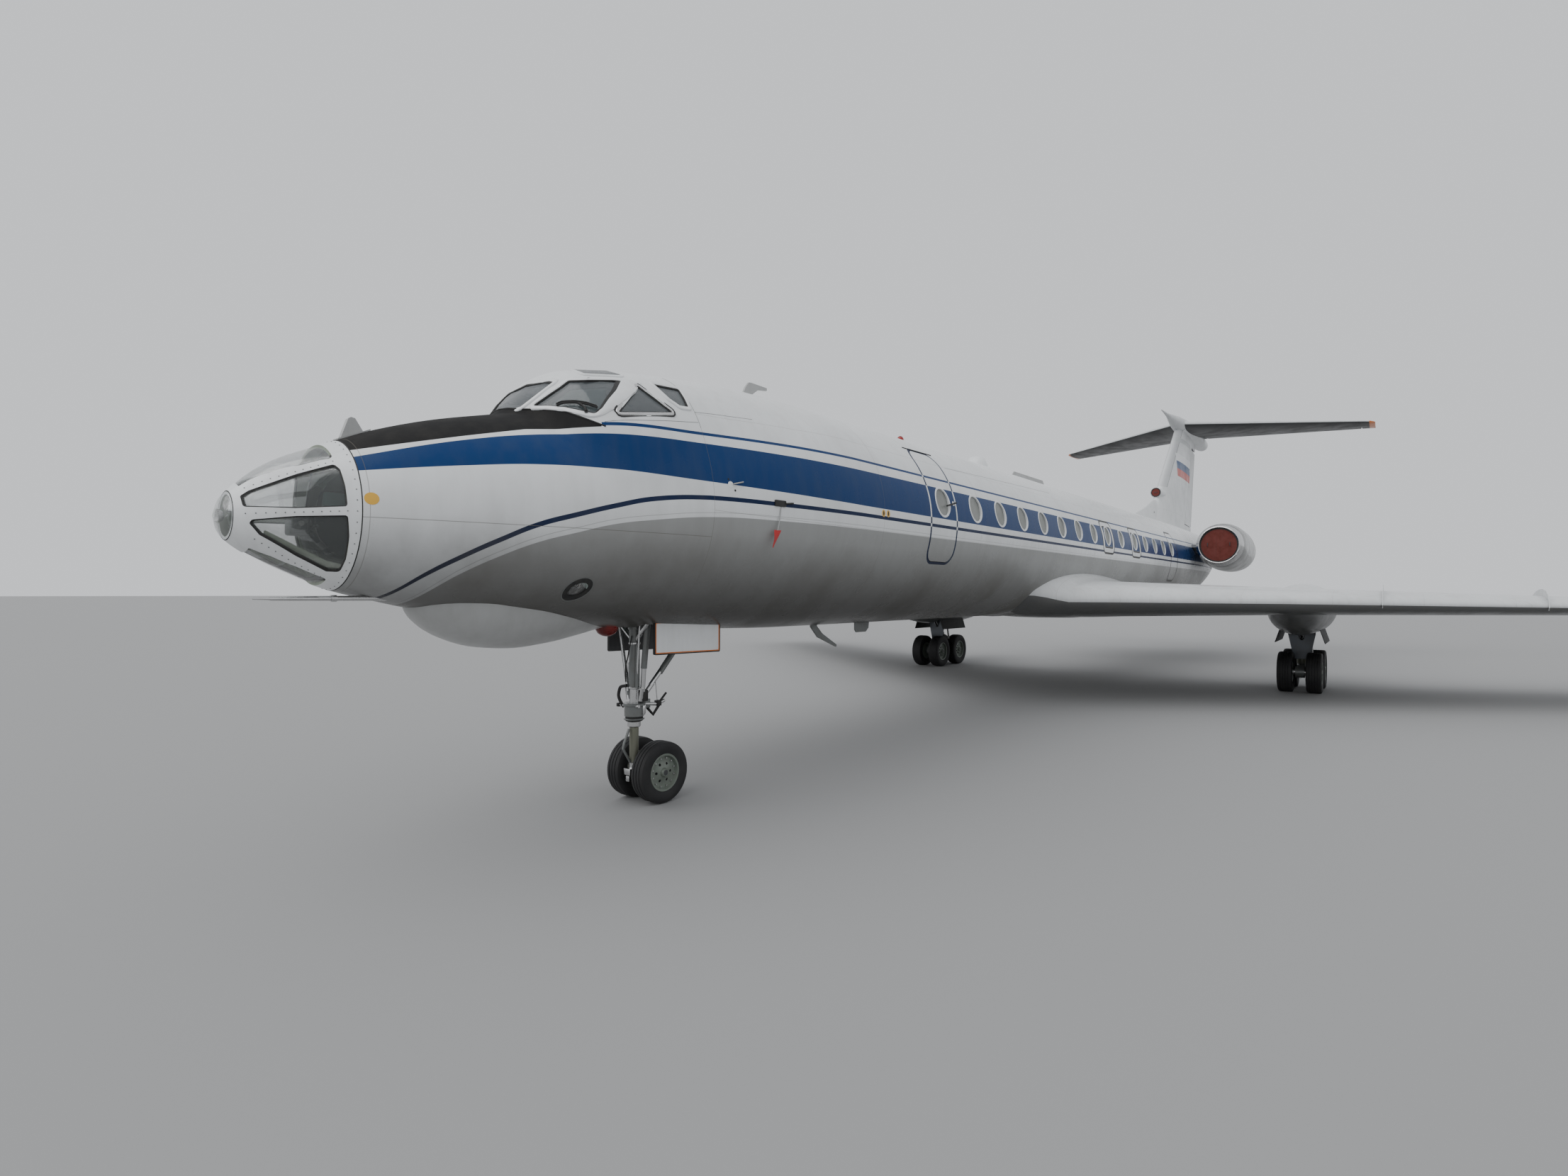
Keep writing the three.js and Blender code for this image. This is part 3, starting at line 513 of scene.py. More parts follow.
def ranged(value, low, high, start=0.0, end=1.0):
    # goes from start to end while the value goes from low to high, and no further
    inputs = {0: value, 1: low, 2: high, 3: start, 4: end}
    return wire(value.id_data, "MapRange", inputs).outputs[0]


def noise(place, scale, detail, roughness=0.5):
    inputs = {"Vector": place, "Scale": scale, "Detail": detail, "Roughness": roughness}
    return wire(place.id_data, "TexNoise", inputs).outputs[0]


def mixColor(factor, a, b):
    inputs = {0: factor, 6: a, 7: b}
    return wire(factor.id_data, "Mix", inputs, data_type="RGBA", blend_type="MIX").outputs[2]


def axesOf(place):
    return wire(place.id_data, "SeparateXYZ", {0: place}).outputs


def newGroup(name, inputs, outputs):
    group = bpy.data.node_groups.new(name, "ShaderNodeTree")
    for way, sockets in (("INPUT", inputs), ("OUTPUT", outputs)):
        for label, kind in sockets.items():
            group.interface.new_socket(label, in_out=way, socket_type="NodeSocket" + kind)
    start = group.nodes.new("NodeGroupInput")
    end = group.nodes.new("NodeGroupOutput")
    return group, start.outputs, end.inputs


def useGroup(tree, group, inputs):
    return wire(tree, "Group", inputs, node_tree=group).outputs


grimeValues = {
    "patches": (6.0, 0.62),  # detail and roughness of the noise
    "streaks": (4.0, 0.55),
    "squeeze": (9, 9, 0.7),  # makes the streaks narrow and upright
    "range": (0.42, 0.72),
}


def makeGrime(values):
    # soft patches, and streaks that run down
    group, given, out = newGroup("grime", {"Vector": "Vector", "Scale": "Float", "Streaks": "Float"},
                                 {"Patches": "Float", "Streaks": "Float"})
    place = given["Vector"]
    narrow = wire(group, "Mapping", {"Vector": place, "Scale": values["squeeze"]}).outputs[0]
    patches = noise(place, given["Scale"], *values["patches"])
    streaks = noise(narrow, given["Streaks"], *values["streaks"])
    for label, value in (("Patches", patches), ("Streaks", streaks)):
        group.links.new(ranged(value, *values["range"]), out[label])
    return group


rivets = {
    "beside": 0.022,  # from the seam to the row
    "soft": (0.002, 0.0045),  # inner and outer radius of a head
}


def makeSeams(values):
    # a thin line at every Spacing along a coordinate, with a row of rivets beside it
    group, given, out = newGroup(
        "seams", {name: "Float" for name in ("Along", "Across", "Spacing", "Width", "Pitch")},
        {"Line": "Float", "Rivets": "Float"})
    off = math2("PINGPONG", given["Along"], times(given["Spacing"], 0.5))
    group.links.new(ranged(off, 0.0, given["Width"], 1.0, 0.0), out["Line"])
    beside = absolute(minus(off, values["beside"]))
    step = math2("PINGPONG", given["Across"], times(given["Pitch"], 0.5))
    near = math2("SQRT", plus(math2("POWER", beside, 2.0), math2("POWER", step, 2.0)))
    group.links.new(ranged(near, *values["soft"], 1.0, 0.0), out["Rivets"])
    return group


grime = makeGrime(grimeValues)
seams = makeSeams(rivets)


def startMaterial(name, **values):
    material = bpy.data.materials.new(name)
    material.use_nodes = True
    tree = material.node_tree
    shader = tree.nodes["Principled BSDF"]
    fill(shader, {key.replace("_", " "): value for key, value in values.items()})
    place = tree.nodes.new("ShaderNodeTexCoord").outputs["Object"]
    return material, shader, place


def addBump(shader, height, strength, distance):
    inputs = {"Height": height, "Strength": strength, "Distance": distance}
    fill(shader, {"Normal": wire(shader.id_data, "Bump", inputs).outputs[0]})


enamelValues = {
    "coatRoughness": 0.08,
    "streakScale": 1.5,
    "shares": (0.6, 0.4),  # of the dirt, in patches and in streaks
    "seamWidth": 0.003,
    "rivetPitch": 0.05,
    "rivetShare": 0.35,
    "seamDirt": 0.45,
    "rippleHeight": 0.15,
    "worn": 0.25,  # how much rougher the dirty patches are
    "bump": (0.35, 0.002),
}


def enamel(name, color, dirtAmount=0.35, roughness=0.32, metallic=0.0, scale=2.0, coat=0.3,
           seamSpacing=(), dirt=(0.16, 0.15, 0.13, 1), bumpScale=40.0):
    # paint on metal: patches, streaks, panel seams and a faint ripple
    values = enamelValues
    material, shader, place = startMaterial(
        name, Metallic=metallic, Coat_Weight=coat, Coat_Roughness=values["coatRoughness"])
    tree = material.node_tree
    soil = useGroup(tree, grime, {"Vector": place, "Scale": scale, "Streaks": values["streakScale"]})
    patchShare, streakShare = values["shares"]
    mask = plus(times(soil["Patches"], dirtAmount * patchShare),
                times(soil["Streaks"], dirtAmount * streakShare))
    base = mixColor(mask, color, dirt)
    axes = axesOf(place)
    lines = None
    for axis, other, spacing in seamSpacing:
        found = useGroup(tree, seams, {"Along": axes[axis], "Across": axes[other], "Spacing": spacing,
                                       "Width": values["seamWidth"], "Pitch": values["rivetPitch"]})
        both = larger(found["Line"], times(found["Rivets"], values["rivetShare"]))
        lines = both if lines is None else larger(lines, both)
    height = times(noise(place, bumpScale, 3.0), values["rippleHeight"])
    if lines is not None:
        base = mixColor(times(lines, values["seamDirt"]), base, dirt)
        height = minus(height, lines)
    rough = ranged(soil["Patches"], 0.0, 1.0, roughness, min(1, roughness + values["worn"]))
    fill(shader, {"Base Color": base, "Roughness": rough})
    addBump(shader, height, *values["bump"])
    return material


colors = {
    "white": (0.80, 0.815, 0.82, 1),
    "band": (0.006, 0.042, 0.15, 1),
    "navy": (0.005, 0.018, 0.065, 1),
    "belly": (0.36, 0.365, 0.36, 1),
    "black": (0.018, 0.018, 0.019, 1),
    # also used for the dirt patches low on the belly, which are partly painted shade
    "dirt": (0.15, 0.14, 0.12, 1),
}

# edges of the painted areas: station and height, constant aft of the last point
livery = {
    "stationSpan": 6.0,
    "heightSpan": (2.0, 4.4),
    "edges": {
        "bandTop": [(0.69, 3.24), (1.5, 3.48), (2.11, 3.61), (2.68, 3.67), (3.48, 3.71), (4.85, 3.74),
                    (6, 3.75)],
        "bandLow": [(0.70, 3.14), (1.42, 3.25), (1.99, 3.32), (2.64, 3.345), (3.4, 3.335),
                    (4.73, 3.32), (6, 3.31)],
        "thinLine": [(0.69, 3.30), (2.45, 3.725), (2.61, 3.755), (3.51, 3.81), (4.91, 3.865), (6, 3.885)],
        "navyLine": [(1.06, 2.25), (1.21, 2.4), (1.43, 2.55), (1.68, 2.69), (1.95, 2.82), (2.26, 2.92),
                     (2.6, 3.02), (2.97, 3.11), (3.6, 3.175), (4.73, 3.19), (6, 3.2)],
        "belly": [(1.2, 2.16), (1.35, 2.33), (1.46, 2.42), (1.7, 2.56), (1.97, 2.68), (2.27, 2.77),
                  (2.6, 2.86), (2.97, 2.92), (3.6, 2.99), (4.74, 3.02), (6, 3.03)],
        "glareLow": [(0.70, 3.30), (1.52, 3.52), (2.02, 3.65), (2.58, 3.725), (2.62, 4.3), (6, 4.38)],
        "glareTop": [(0.70, 4.38), (2.16, 4.38), (2.18, 3.915), (2.26, 3.888), (2.36, 3.855),
                     (2.41, 3.812), (2.55, 3.755), (2.6, 3.735), (2.64, 2.1), (6, 2.1)],
    },
    "thinHalf": 0.016,
    "thinFrom": 2.57,  # it comes out from under the black panel here
    "navyHalf": 0.022,
    "pin": (0.042, 0.003),  # a fine line above the edge of the belly, and its half width
    "pinStrength": 0.6,
    "soft": 0.0015,
    # lines round the doors: stations, heights, corner, how far outside, half width, paint and side
    "frames": [((7.735, 8.475), (2.71, 4.29), 0.17, 0.02, 0.02, "either", "port"),
               *[(span, (3.16, 3.88), 0.16, grow, half, paintName, "both")
                 for span in ((15.66, 16.5), (18.0, 18.85))
                 for grow, half, paintName in ((-0.065, 0.045, "light"), (0, 0.022, "dark"),
                                               (-0.13, 0.017, "dark"))],
               ((22.2, 23.05), (2.64, 4.04), 0.17, 0, 0.028, "dark", "both")],
    "noseSeam": (2.805, 3.64),  # height, and the station where it ends
}


def makeLivery(values):
    group, given, out = newGroup("livery", {"Vector": "Vector"}, {"Color": "Color", "Paint": "Float"})
    axes = axesOf(given["Vector"])
    station = plus(axes[1], halfLength)
    share = ranged(station, 0.0, values["stationSpan"])
    low, high = values["heightSpan"]
    soft = values["soft"]

    def edge(name):
        node = group.nodes.new("ShaderNodeFloatCurve")
        curve = node.mapping.curves[0]
        points = [(s / values["stationSpan"], (z - low) / (high - low))
                  for s, z in values["edges"][name]]
        curve.points[0].location = points[0]
        curve.points[1].location = points[-1]
        for point in points[1:-1]:
            curve.points.new(*point)
        for point in curve.points:
            point.handle_type = "AUTO_CLAMPED" if name[:5] != "glare" else "VECTOR"
        node.mapping.update()
        group.links.new(share, node.inputs["Value"])
        return ranged(node.outputs[0], 0.0, 1.0, low, high)

    def above(height):
        return ranged(minus(axes[2], height), -soft, soft)

    def between(under, over):
        return times(above(under), minus(1.0, above(over)))

    def line(name, half):
        middle = edge(name)
        return between(minus(middle, half), plus(middle, half))

    bellyEdge = edge("belly")
    ahead = minus(1.0, above(bellyEdge))
    color = mixColor(ahead, colors["white"], colors["belly"])
    rise, fine = values["pin"]
    pin = between(plus(bellyEdge, rise - fine), plus(bellyEdge, rise + fine))
    color = mixColor(times(pin, values["pinStrength"]), color, colors["belly"])
    bandMask = between(edge("bandLow"), edge("bandTop"))
    color = mixColor(bandMask, color, colors["band"])
    thin = times(line("thinLine", values["thinHalf"]),
                 isOver(station, values["thinFrom"]))
    color = mixColor(thin, color, colors["band"])
    navy = line("navyLine", values["navyHalf"])
    color = mixColor(navy, color, colors["navy"])
    glare = between(edge("glareLow"), edge("glareTop"))
    color = mixColor(glare, color, colors["black"])
    blue = larger(bandMask, larger(thin, navy))
    contrast = mixColor(blue, colors["navy"], colors["white"])
    port = isOver(axes[0], 0.0)
    for stations, heights, corner, grow, half, paintName, side in values["frames"]:
        reaches = []
        for socket, (start, end) in ((station, stations), (axes[2], heights)):
            off = absolute(minus(socket, (start + end) / 2))
            off = minus(off, (end - start) / 2 - corner)
            reaches.append(math2("POWER", larger(off, 0.0), 2.0))
        far = math2("SQRT", plus(*reaches))
        away = absolute(minus(far, corner + grow))
        mask = ranged(away, half - soft, half + soft, 1.0, 0.0)
        if side == "port":
            mask = times(mask, port)
        color = mixColor(mask, color, {"either": contrast, "dark": colors["black"],
                                              "light": colors["white"]}[paintName])
    group.links.new(color, out["Color"])
    group.links.new(glare, out["Paint"])
    return group


weatherAndShade = {
    "coatRoughness": 0.06,
    "specular": 0.08,
    "grime": {"Scale": 0.9, "Streaks": 0.8},
    "upperDarkening": (3.1, 0.07),  # height high on the skin and how strong the dirt patches are there; lower down they grow stronger, partly as painted shade
    "lowerDarkening": (1.9, 0.62),
    "patches": 0.35,
    "streaks": 0.07,
    # painted shade darkening the lower forward fuselage: heights, strengths, stations and how much stays at
    # each
    "shadeHeights": (2.85, 1.95, 0.0, 0.85),
    "shadeStations": (8, 14, 1.0, 0.3),
    "shadeColor": (0.04, 0.038, 0.034, 1),
    "middle": 3.26,  # height of the middle of the cabin
    "radius": 1.45,
    "hoops": (14.91, {"Spacing": 2.85, "Width": 0.004, "Pitch": 0.05}),
    "runs": (0.169, {"Spacing": 1.167, "Width": 0.0035, "Pitch": 0.05}),
    "seamHalf": 0.0028,
    "rivets": 0.25,
    "seams": 0.6,
    "gloss": (0.14, 0.24),
    "matt": 0.5,  # how much rougher the black panel is
    "coat": 0.02,
    "ripple": (2.2, 2.0, 1.2),
    "bump": (0.3, 0.002),
}


def liveryPaint(values):
    material, shader, place = startMaterial(
        "livery_paint_with_painted_shade", Coat_Roughness=values["coatRoughness"], Specular_IOR_Level=values["specular"])
    tree = material.node_tree
    art = useGroup(tree, makeLivery(livery), {"Vector": place})
    soil = useGroup(tree, grime, {"Vector": place, **values["grime"]})
    axes = axesOf(place)
    # dirt patches that grow stronger towards the bottom: partly real dirt, partly painted shade under the
    # belly
    (upperHeight, upperDarkening), (lowerHeight, lowerDarkening) = values["upperDarkening"], values["lowerDarkening"]
    under = ranged(axes[2], upperHeight, lowerHeight, upperDarkening, lowerDarkening)
    mask = times(plus(soil["Patches"], values["patches"]), under)
    mask = plus(mask, times(soil["Streaks"], values["streaks"]), True)
    base = mixColor(mask, art["Color"], colors["dirt"])
    # painted shade: the lower forward fuselage is darkened towards the bottom, less so aft
    start, end, *strengths = values["shadeStations"]
    paintedShade = times(ranged(axes[2], *values["shadeHeights"]), ranged(axes[1], at(start), at(end), *strengths))
    base = mixColor(paintedShade, base, values["shadeColor"])
    angle = math2("ARCTAN2", axes[0], minus(axes[2], values["middle"]))
    reach = times(absolute(angle), values["radius"])
    shift, sizes = values["hoops"]
    hoops = useGroup(tree, seams, {"Along": plus(axes[1], shift), "Across": reach, **sizes})
    shift, sizes = values["runs"]
    runs = useGroup(tree, seams, {"Along": minus(reach, shift), "Across": axes[1], **sizes})
    seamHeight, seamEnd = livery["noseSeam"]
    off = absolute(minus(axes[2], seamHeight))
    noseSeam = times(isUnder(off, values["seamHalf"]), isUnder(axes[1], at(seamEnd)))
    aft = isOver(axes[1], at(seamEnd))
    lines = larger(larger(hoops["Line"], times(runs["Line"], aft)), noseSeam)
    dots = larger(hoops["Rivets"], times(runs["Rivets"], aft))
    marks = larger(lines, times(dots, values["rivets"]))
    base = mixColor(times(marks, values["seams"]), base, colors["dirt"])
    worn, least = values["gloss"]
    rough = plus(plus(times(soil["Patches"], worn), least), times(art["Paint"], values["matt"]))
    coat = times(minus(1.0, art["Paint"]), values["coat"])
    fill(shader, {"Base Color": base, "Roughness": rough, "Coat Weight": coat})
    scale, detail, strength = values["ripple"]
    addBump(shader, minus(times(noise(place, scale, detail), strength), marks), *values["bump"])
    return material


finArt = {
    "paint": (0.78, 0.795, 0.8, 1),
    "lead": (25.45, 4.3, 1.093),  # station and height of the leading edge's foot, and its slope
    "boot": 0.42,  # width of the metal strip on the leading edge
    "bootFrom": 6.05,
    "bootStrength": 0.55,
    "bootColor": (0.5, 0.51, 0.52, 1),
    "bootLine": 0.012,
    "flag": (29.25, 31.9),
    # lower and upper height of each stripe, and its colour
    "stripes": [(6.64, 6.93, (0.55, 0.06, 0.04, 1)), (6.93, 7.22, (0.05, 0.1, 0.22, 1)),
                (7.22, 7.51, (0.85, 0.86, 0.87, 1)), (8.0, 8.18, (0.58, 0.6, 0.6, 1))],
}


def finPaint(values):
    # the common paint with the flag's plain stripes and the metal strip on the leading edge
    material = enamel("fin_paint", values["paint"], 0.14, 0.35, 0.0, 2.0, 0.05,
                      ((2, 1, 1.3), (1, 2, 1.9)))
    tree = material.node_tree
    shader = tree.nodes["Principled BSDF"]
    base = shader.inputs["Base Color"].links[0].from_socket
    axes = axesOf(tree.nodes.new("ShaderNodeTexCoord").outputs["Object"])
    start, foot, slope = values["lead"]
    back = minus(minus(axes[1], at(start)), times(minus(axes[2], foot), slope))
    high = isOver(axes[2], values["bootFrom"])
    strip = times(isUnder(back, values["boot"]), high)
    base = mixColor(times(strip, values["bootStrength"]), base, values["bootColor"])
    edge = isUnder(absolute(minus(back, values["boot"])), values["bootLine"])
    base = mixColor(times(edge, high), base, colors["black"])
    low, far = (at(s) for s in values["flag"])
    within = times(isOver(axes[1], low), isUnder(axes[1], far))
    for bottom, top, color in values["stripes"]:
        stripe = times(isOver(axes[2], bottom), isUnder(axes[2], top))
        base = mixColor(times(stripe, within), base, color)
    fill(shader, {"Base Color": base})
    return material


def clothMaterial(name, color, dark, pitch):
    # woven thread: two crossed waves, with soft wear
    material, shader, place = startMaterial(name, Roughness=0.85, Sheen_Weight=0.3)
    tree = material.node_tree
    heights = []
    for turn in ((0, 0, 0), (0, 0, math.pi / 2), (0, math.pi / 2, 0)):
        turned = wire(tree, "Mapping", {"Vector": place, "Rotation": turn}).outputs[0]
        wave = wire(tree, "TexWave", {"Vector": turned, "Scale": pitch, "Distortion": 0.4})
        heights.append(wave.outputs[1])
    weave = larger(larger(heights[0], heights[1]), heights[2])
    amount = plus(times(weave, 0.35), times(noise(place, 9.0, 5.0), 0.5))
    fill(shader, {"Base Color": mixColor(amount, dark, color)})
    addBump(shader, weave, 0.4, 0.0008)
    return material


def glassMaterial(name, color, alpha, roughness=0.02, clear=0.82):
    material, shader, place = startMaterial(
        name, Transmission_Weight=clear, Metallic=0.0, IOR=1.5, Base_Color=color, Alpha=alpha)
    smear = ranged(noise(place, 7.0, 4.0), 0.4, 0.7, roughness, roughness + 0.05)
    fill(shader, {"Roughness": smear})
    return material


def rubberMaterial(name="tyre_rubber"):
    material, shader, place = startMaterial(name)
    grain = noise(place, 120.0, 3.0)
    dust = noise(place, 5.0, 5.0)
    base = mixColor(ranged(dust, 0.4, 0.75, 0.0, 0.2), (0.012, 0.012, 0.013, 1), (0.07, 0.066, 0.06, 1))
    fill(shader, {"Base Color": base, "Roughness": ranged(dust, 0.0, 1.0, 0.55, 0.85)})
    addBump(shader, grain, 0.25, 0.002)
    return material


# seams: the axis that they cross, the one that they follow, and how far apart they are
roofPanels = ((1, 0, 1.9), (0, 1, 1.45))
wingPanels = ((0, 1, 1.37), (1, 0, 1.6))
# name, colour, dirt, roughness, metallic, scale of the dirt, coat, seams, dirt's colour and ripple
enamels = {
    "white": ("white_paint", colors["white"], 0.14, 0.28, 0.0, 2.0, 0.3, roofPanels),
    "plainWhite": ("frame_white", colors["white"], 0.2, 0.3),
    "wing": ("wing_paint", (0.66, 0.675, 0.68, 1), 0.22, 0.3, 0.0, 2.0, 0.3, wingPanels),
    "radome": ("radome_paint", (0.4, 0.405, 0.4, 1), 0.25, 0.38),
    # the gear's grey is made darker as painted shade; seams, bolts and antennas take it too
    "gear": ("gear_enamel", (0.17, 0.18, 0.177, 1), 0.5, 0.38, 0.35, 9.0),
    "olive": ("leg_olive", (0.17, 0.175, 0.13, 1), 0.4, 0.4, 0.3, 9.0),
    "hub": ("hub_green", (0.16, 0.19, 0.16, 1), 0.45, 0.45, 0.25, 12.0),
    "chrome": ("polished_steel", (0.62, 0.62, 0.62, 1), 0.25, 0.15, 1.0, 12.0, 0.0),
    "steel": ("bare_metal", (0.46, 0.46, 0.45, 1), 0.45, 0.3, 1.0, 6.0, 0.0),
    "dark": ("dark_enamel", (0.035, 0.037, 0.04, 1), 0.3, 0.5, 0.0, 8.0),
    "black": ("black_rubber", (0.012, 0.012, 0.012, 1), 0.2, 0.6, 0.0, 20.0, 0.0),
    "interior": ("cabin_green", (0.42, 0.5, 0.47, 1), 0.3, 0.6, 0.0, 4.0, 0.0),
    "trim": ("cabin_trim", (0.07, 0.085, 0.085, 1), 0.3, 0.6, 0.0, 7.0, 0.0),
    # painted shade: the lower faces of the wings, flaps, ailerons and pods are near black
    "wingUnderShade": ("wing_underside", (0.1, 0.103, 0.103, 1), 0.4, 0.35, 0.0, 2.0, 0.3, wingPanels),
    "cover": ("cover_red", (0.15, 0.027, 0.02, 1), 0.55, 0.75, 0.0, 5.0, 0.0, (),
              (0.06, 0.022, 0.016, 1), 90.0),
    "yellow": ("yellow_mark", (0.75, 0.42, 0.04, 1), 0.25, 0.4, 0.0, 9.0),
    "teal": ("teal_vinyl", (0.16, 0.3, 0.28, 1), 0.25, 0.5, 0.0, 9.0),
    "frameGreen": ("frame_green", (0.22, 0.26, 0.19, 1), 0.3, 0.5, 0.0, 6.0),
    "blind": ("cabin_blind", (0.23, 0.24, 0.225, 1), 0.2, 0.4, 0.0, 3.0, 0.12),
    "orange": ("orange_edge", (0.75, 0.19, 0.015, 1), 0.2, 0.32, 0.0, 8.0),
    # painted shade: the lower faces of the tailplane and elevators are dark
    "tailUnderShade": ("tailplane_metal", (0.05, 0.052, 0.054, 1), 0.15, 0.4, 0.3, 2.0, 0.05,
                  ((0, 1, 1.1),)),
    "nacelle": ("nacelle_paint", (0.3, 0.305, 0.3, 1), 0.45, 0.3, 0.75, 2.0, 0.3, ((1, 2, 1.2),)),
    "pylon": ("pylon_metal", (0.09, 0.1, 0.115, 1), 0.4, 0.35, 0.5),
}
looks = {
    **{key: enamel(*row) for key, row in enamels.items()},
    "livery": liveryPaint(weatherAndShade),
    "tailPaint": finPaint(finArt),
    "glass": glassMaterial("deck_glass", (0.16, 0.18, 0.19, 1), 0.6, clear=0.4),
    "noseGlass": glassMaterial("nose_glass", (0.72, 0.76, 0.75, 1), 0.3),
    "lens": glassMaterial("lamp_lens", (0.8, 0.8, 0.78, 1), 0.3),
    "redLens": glassMaterial("red_lens", (0.5, 0.02, 0.015, 1), 1.0, 0.15),
    "greenLens": glassMaterial("green_lens", (0.02, 0.3, 0.09, 1), 1.0, 0.15),
    "seatCloth": clothMaterial("seat_cloth", (0.16, 0.18, 0.2, 1), (0.05, 0.055, 0.06, 1), 900.0),
    "pennant": clothMaterial("pennant_red", (0.62, 0.02, 0.02, 1), (0.3, 0.008, 0.008, 1), 700.0),
    "rubber": rubberMaterial(),
}
print("materials made")

# fuselage

hull = {
    # station, top, bottom and half width
    "rows": [(0, 2.8, 2.78, 0.01), (0.04, 2.915, 2.665, 0.125), (0.1, 3.0, 2.6, 0.2),
             (0.25, 3.16, 2.5, 0.33), (0.44, 3.285, 2.4, 0.44), (0.745, 3.422, 2.272, 0.58),
             (1.0, 3.54, 2.205, 0.68), (1.47, 3.71, 2.1, 0.83), (2.06, 3.87, 2.0, 0.99),
             (2.6, 4.02, 1.95, 1.11), (3.2, 4.18, 1.91, 1.22), (4.0, 4.42, 1.87, 1.33),
             (5.0, 4.62, 1.83, 1.42), (5.9, 4.705, 1.812, 1.448), (6.8, 4.71, 1.81, 1.45),
             (15.5, 4.71, 1.81, 1.45), (24.5, 4.71, 1.81, 1.45), (26.5, 4.708, 1.87, 1.43),
             (28.5, 4.7, 2.06, 1.35), (30.5, 4.67, 2.4, 1.18), (32.3, 4.6, 2.84, 0.93),
             (33.6, 4.48, 3.25, 0.66), (34.3, 4.35, 3.56, 0.43), (34.5, 4.25, 3.7, 0.3)],
    # the fairing under the wing: station, top, bottom and half width
    "fairing": [(12.8, 2.3, 1.85, 0.3), (14.5, 2.4, 1.74, 0.9), (17.5, 2.4, 1.665, 1.15),
                (20.5, 2.4, 1.665, 1.15), (22.5, 2.4, 1.74, 0.85), (24.3, 2.3, 1.85, 0.3)],
    "around": 160,
    "frontJoint": 3.66,
    "noseJoint": 0.745,
}
canopy = {
    # station, top, half width and exponent of the arch
    "rows": [(2.08, 3.88, 0.3, 2.2), (2.2, 3.99, 0.62, 2.3), (2.4, 4.2, 0.92, 2.4),
             (2.62, 4.37, 1.06, 2.4), (2.8, 4.41, 1.12, 2.4), (3.1, 4.47, 1.17, 2.4),
             (3.56, 4.545, 1.22, 2.3), (4.0, 4.6, 1.27, 2.2), (4.6, 4.665, 1.34, 2.1),
             (5.2, 4.705, 1.39, 2.0), (5.8, 4.715, 1.42, 2.0)],
    "spring": 3.1,
    "blend": 0.07,
}


def hullRing(station, around, inset=0.0):
    top, bottom, half = columnsAt(hull["rows"], station)
    turn = turnsOf(around)
    middle = (top + bottom) / 2
    x = np.sin(turn) * max(half - inset, 0.002)
    z = np.cos(turn) * max((top - bottom) / 2 - inset, 0.002)
    first, last = canopy["rows"][0][0], canopy["rows"][-1][0]
    if first < station < last:
        crown, wide, power = columnsAt(canopy["rows"], station)
        crown, wide = crown - inset, wide - inset
        spring = canopy["spring"]
        size = np.hypot(x, z)
        ux, uz = x / size, z / size
        low, high = np.zeros(around), np.full(around, 3.0)
        for _ in range(36):
            r = (low + high) / 2
            rise = np.maximum(r * uz + middle - spring, 0) / (crown - spring)
            inside = (np.abs(r * ux) / wide) ** power + rise**power < 1
            low, high = np.where(inside, r, low), np.where(inside, high, r)
        low = np.where(uz > 0, low, 0)
        fade = min((station - first) / 0.3, (last - station) / 1.6, 1)
        k = canopy["blend"] * fade + 1e-6
        close = np.maximum(k - np.abs(size - low), 0) / k * np.clip(uz * 4, 0, 1)
        grownSize = np.maximum(size, low) + close**2 * k / 4
        x, z = ux * grownSize, uz * grownSize
    return np.stack([x, np.full(around, at(station)), z + middle], 1)


def hullBody(stations, inset=0.0, around=None):
    return tube([hullRing(s, around or hull["around"], inset) for s in stations])


def hoop(start, end, lift, depth):
    # a flat band round the hull between two stations
    corners = ((start, -depth), (start, lift), (end, lift), (end, -depth))
    return band([hullRing(s, hull["around"], -out) for s, out in corners])


def spread(*spans):
    # stations from (start, end, step) spans, each once
    found = [np.linspace(a, b, max(2, round((b - a) / step) + 1)) for a, b, step in spans]
    return sorted(set(round(float(v), 4) for part in found for v in part))


def ovalBody(rows, middle, stations, inset=0.0, sides=72):
    turn = turnsOf(sides)
    rings = []
    for s in stations:
        top, bottom, half = columnsAt(rows, s)
        x = middle + np.sin(turn) * (half - inset)
        z = (top + bottom) / 2 + np.cos(turn) * ((top - bottom) / 2 - inset)
        rings.append(np.stack([x, np.full(sides, at(s)), z], 1))
    return tube(rings)


def oval(x, station, axis, wide, high, low, sides):
    # a ring whose upper and lower halves have their own heights
    return [(x + math.sin(a) * wide, at(station),
             axis + math.cos(a) * (high if math.cos(a) > 0 else low)) for a in turnsOf(sides)]


def bar(points, radius, index=0, sides=20):
    return paint(pipe([(x, at(s), z) for x, s, z in points], radius, sides), index)


def collar(x, s, low, high, radius, index=0, bevel=0.006):
    profile = [(0, 0), (0, radius - bevel), (bevel, radius), (high - low - bevel, radius),
               (high - low, radius - bevel), (high - low, 0)]
    return paint(revolve(profile, (x, at(s), low), (x, at(s), high), 40), index)


def cube(x0, x1, s0, s1, z0, z1, index=0, bevel=0.006):
    return paint(block((x0, at(s0), z0), (x1, at(s1), z1), bevel), index)


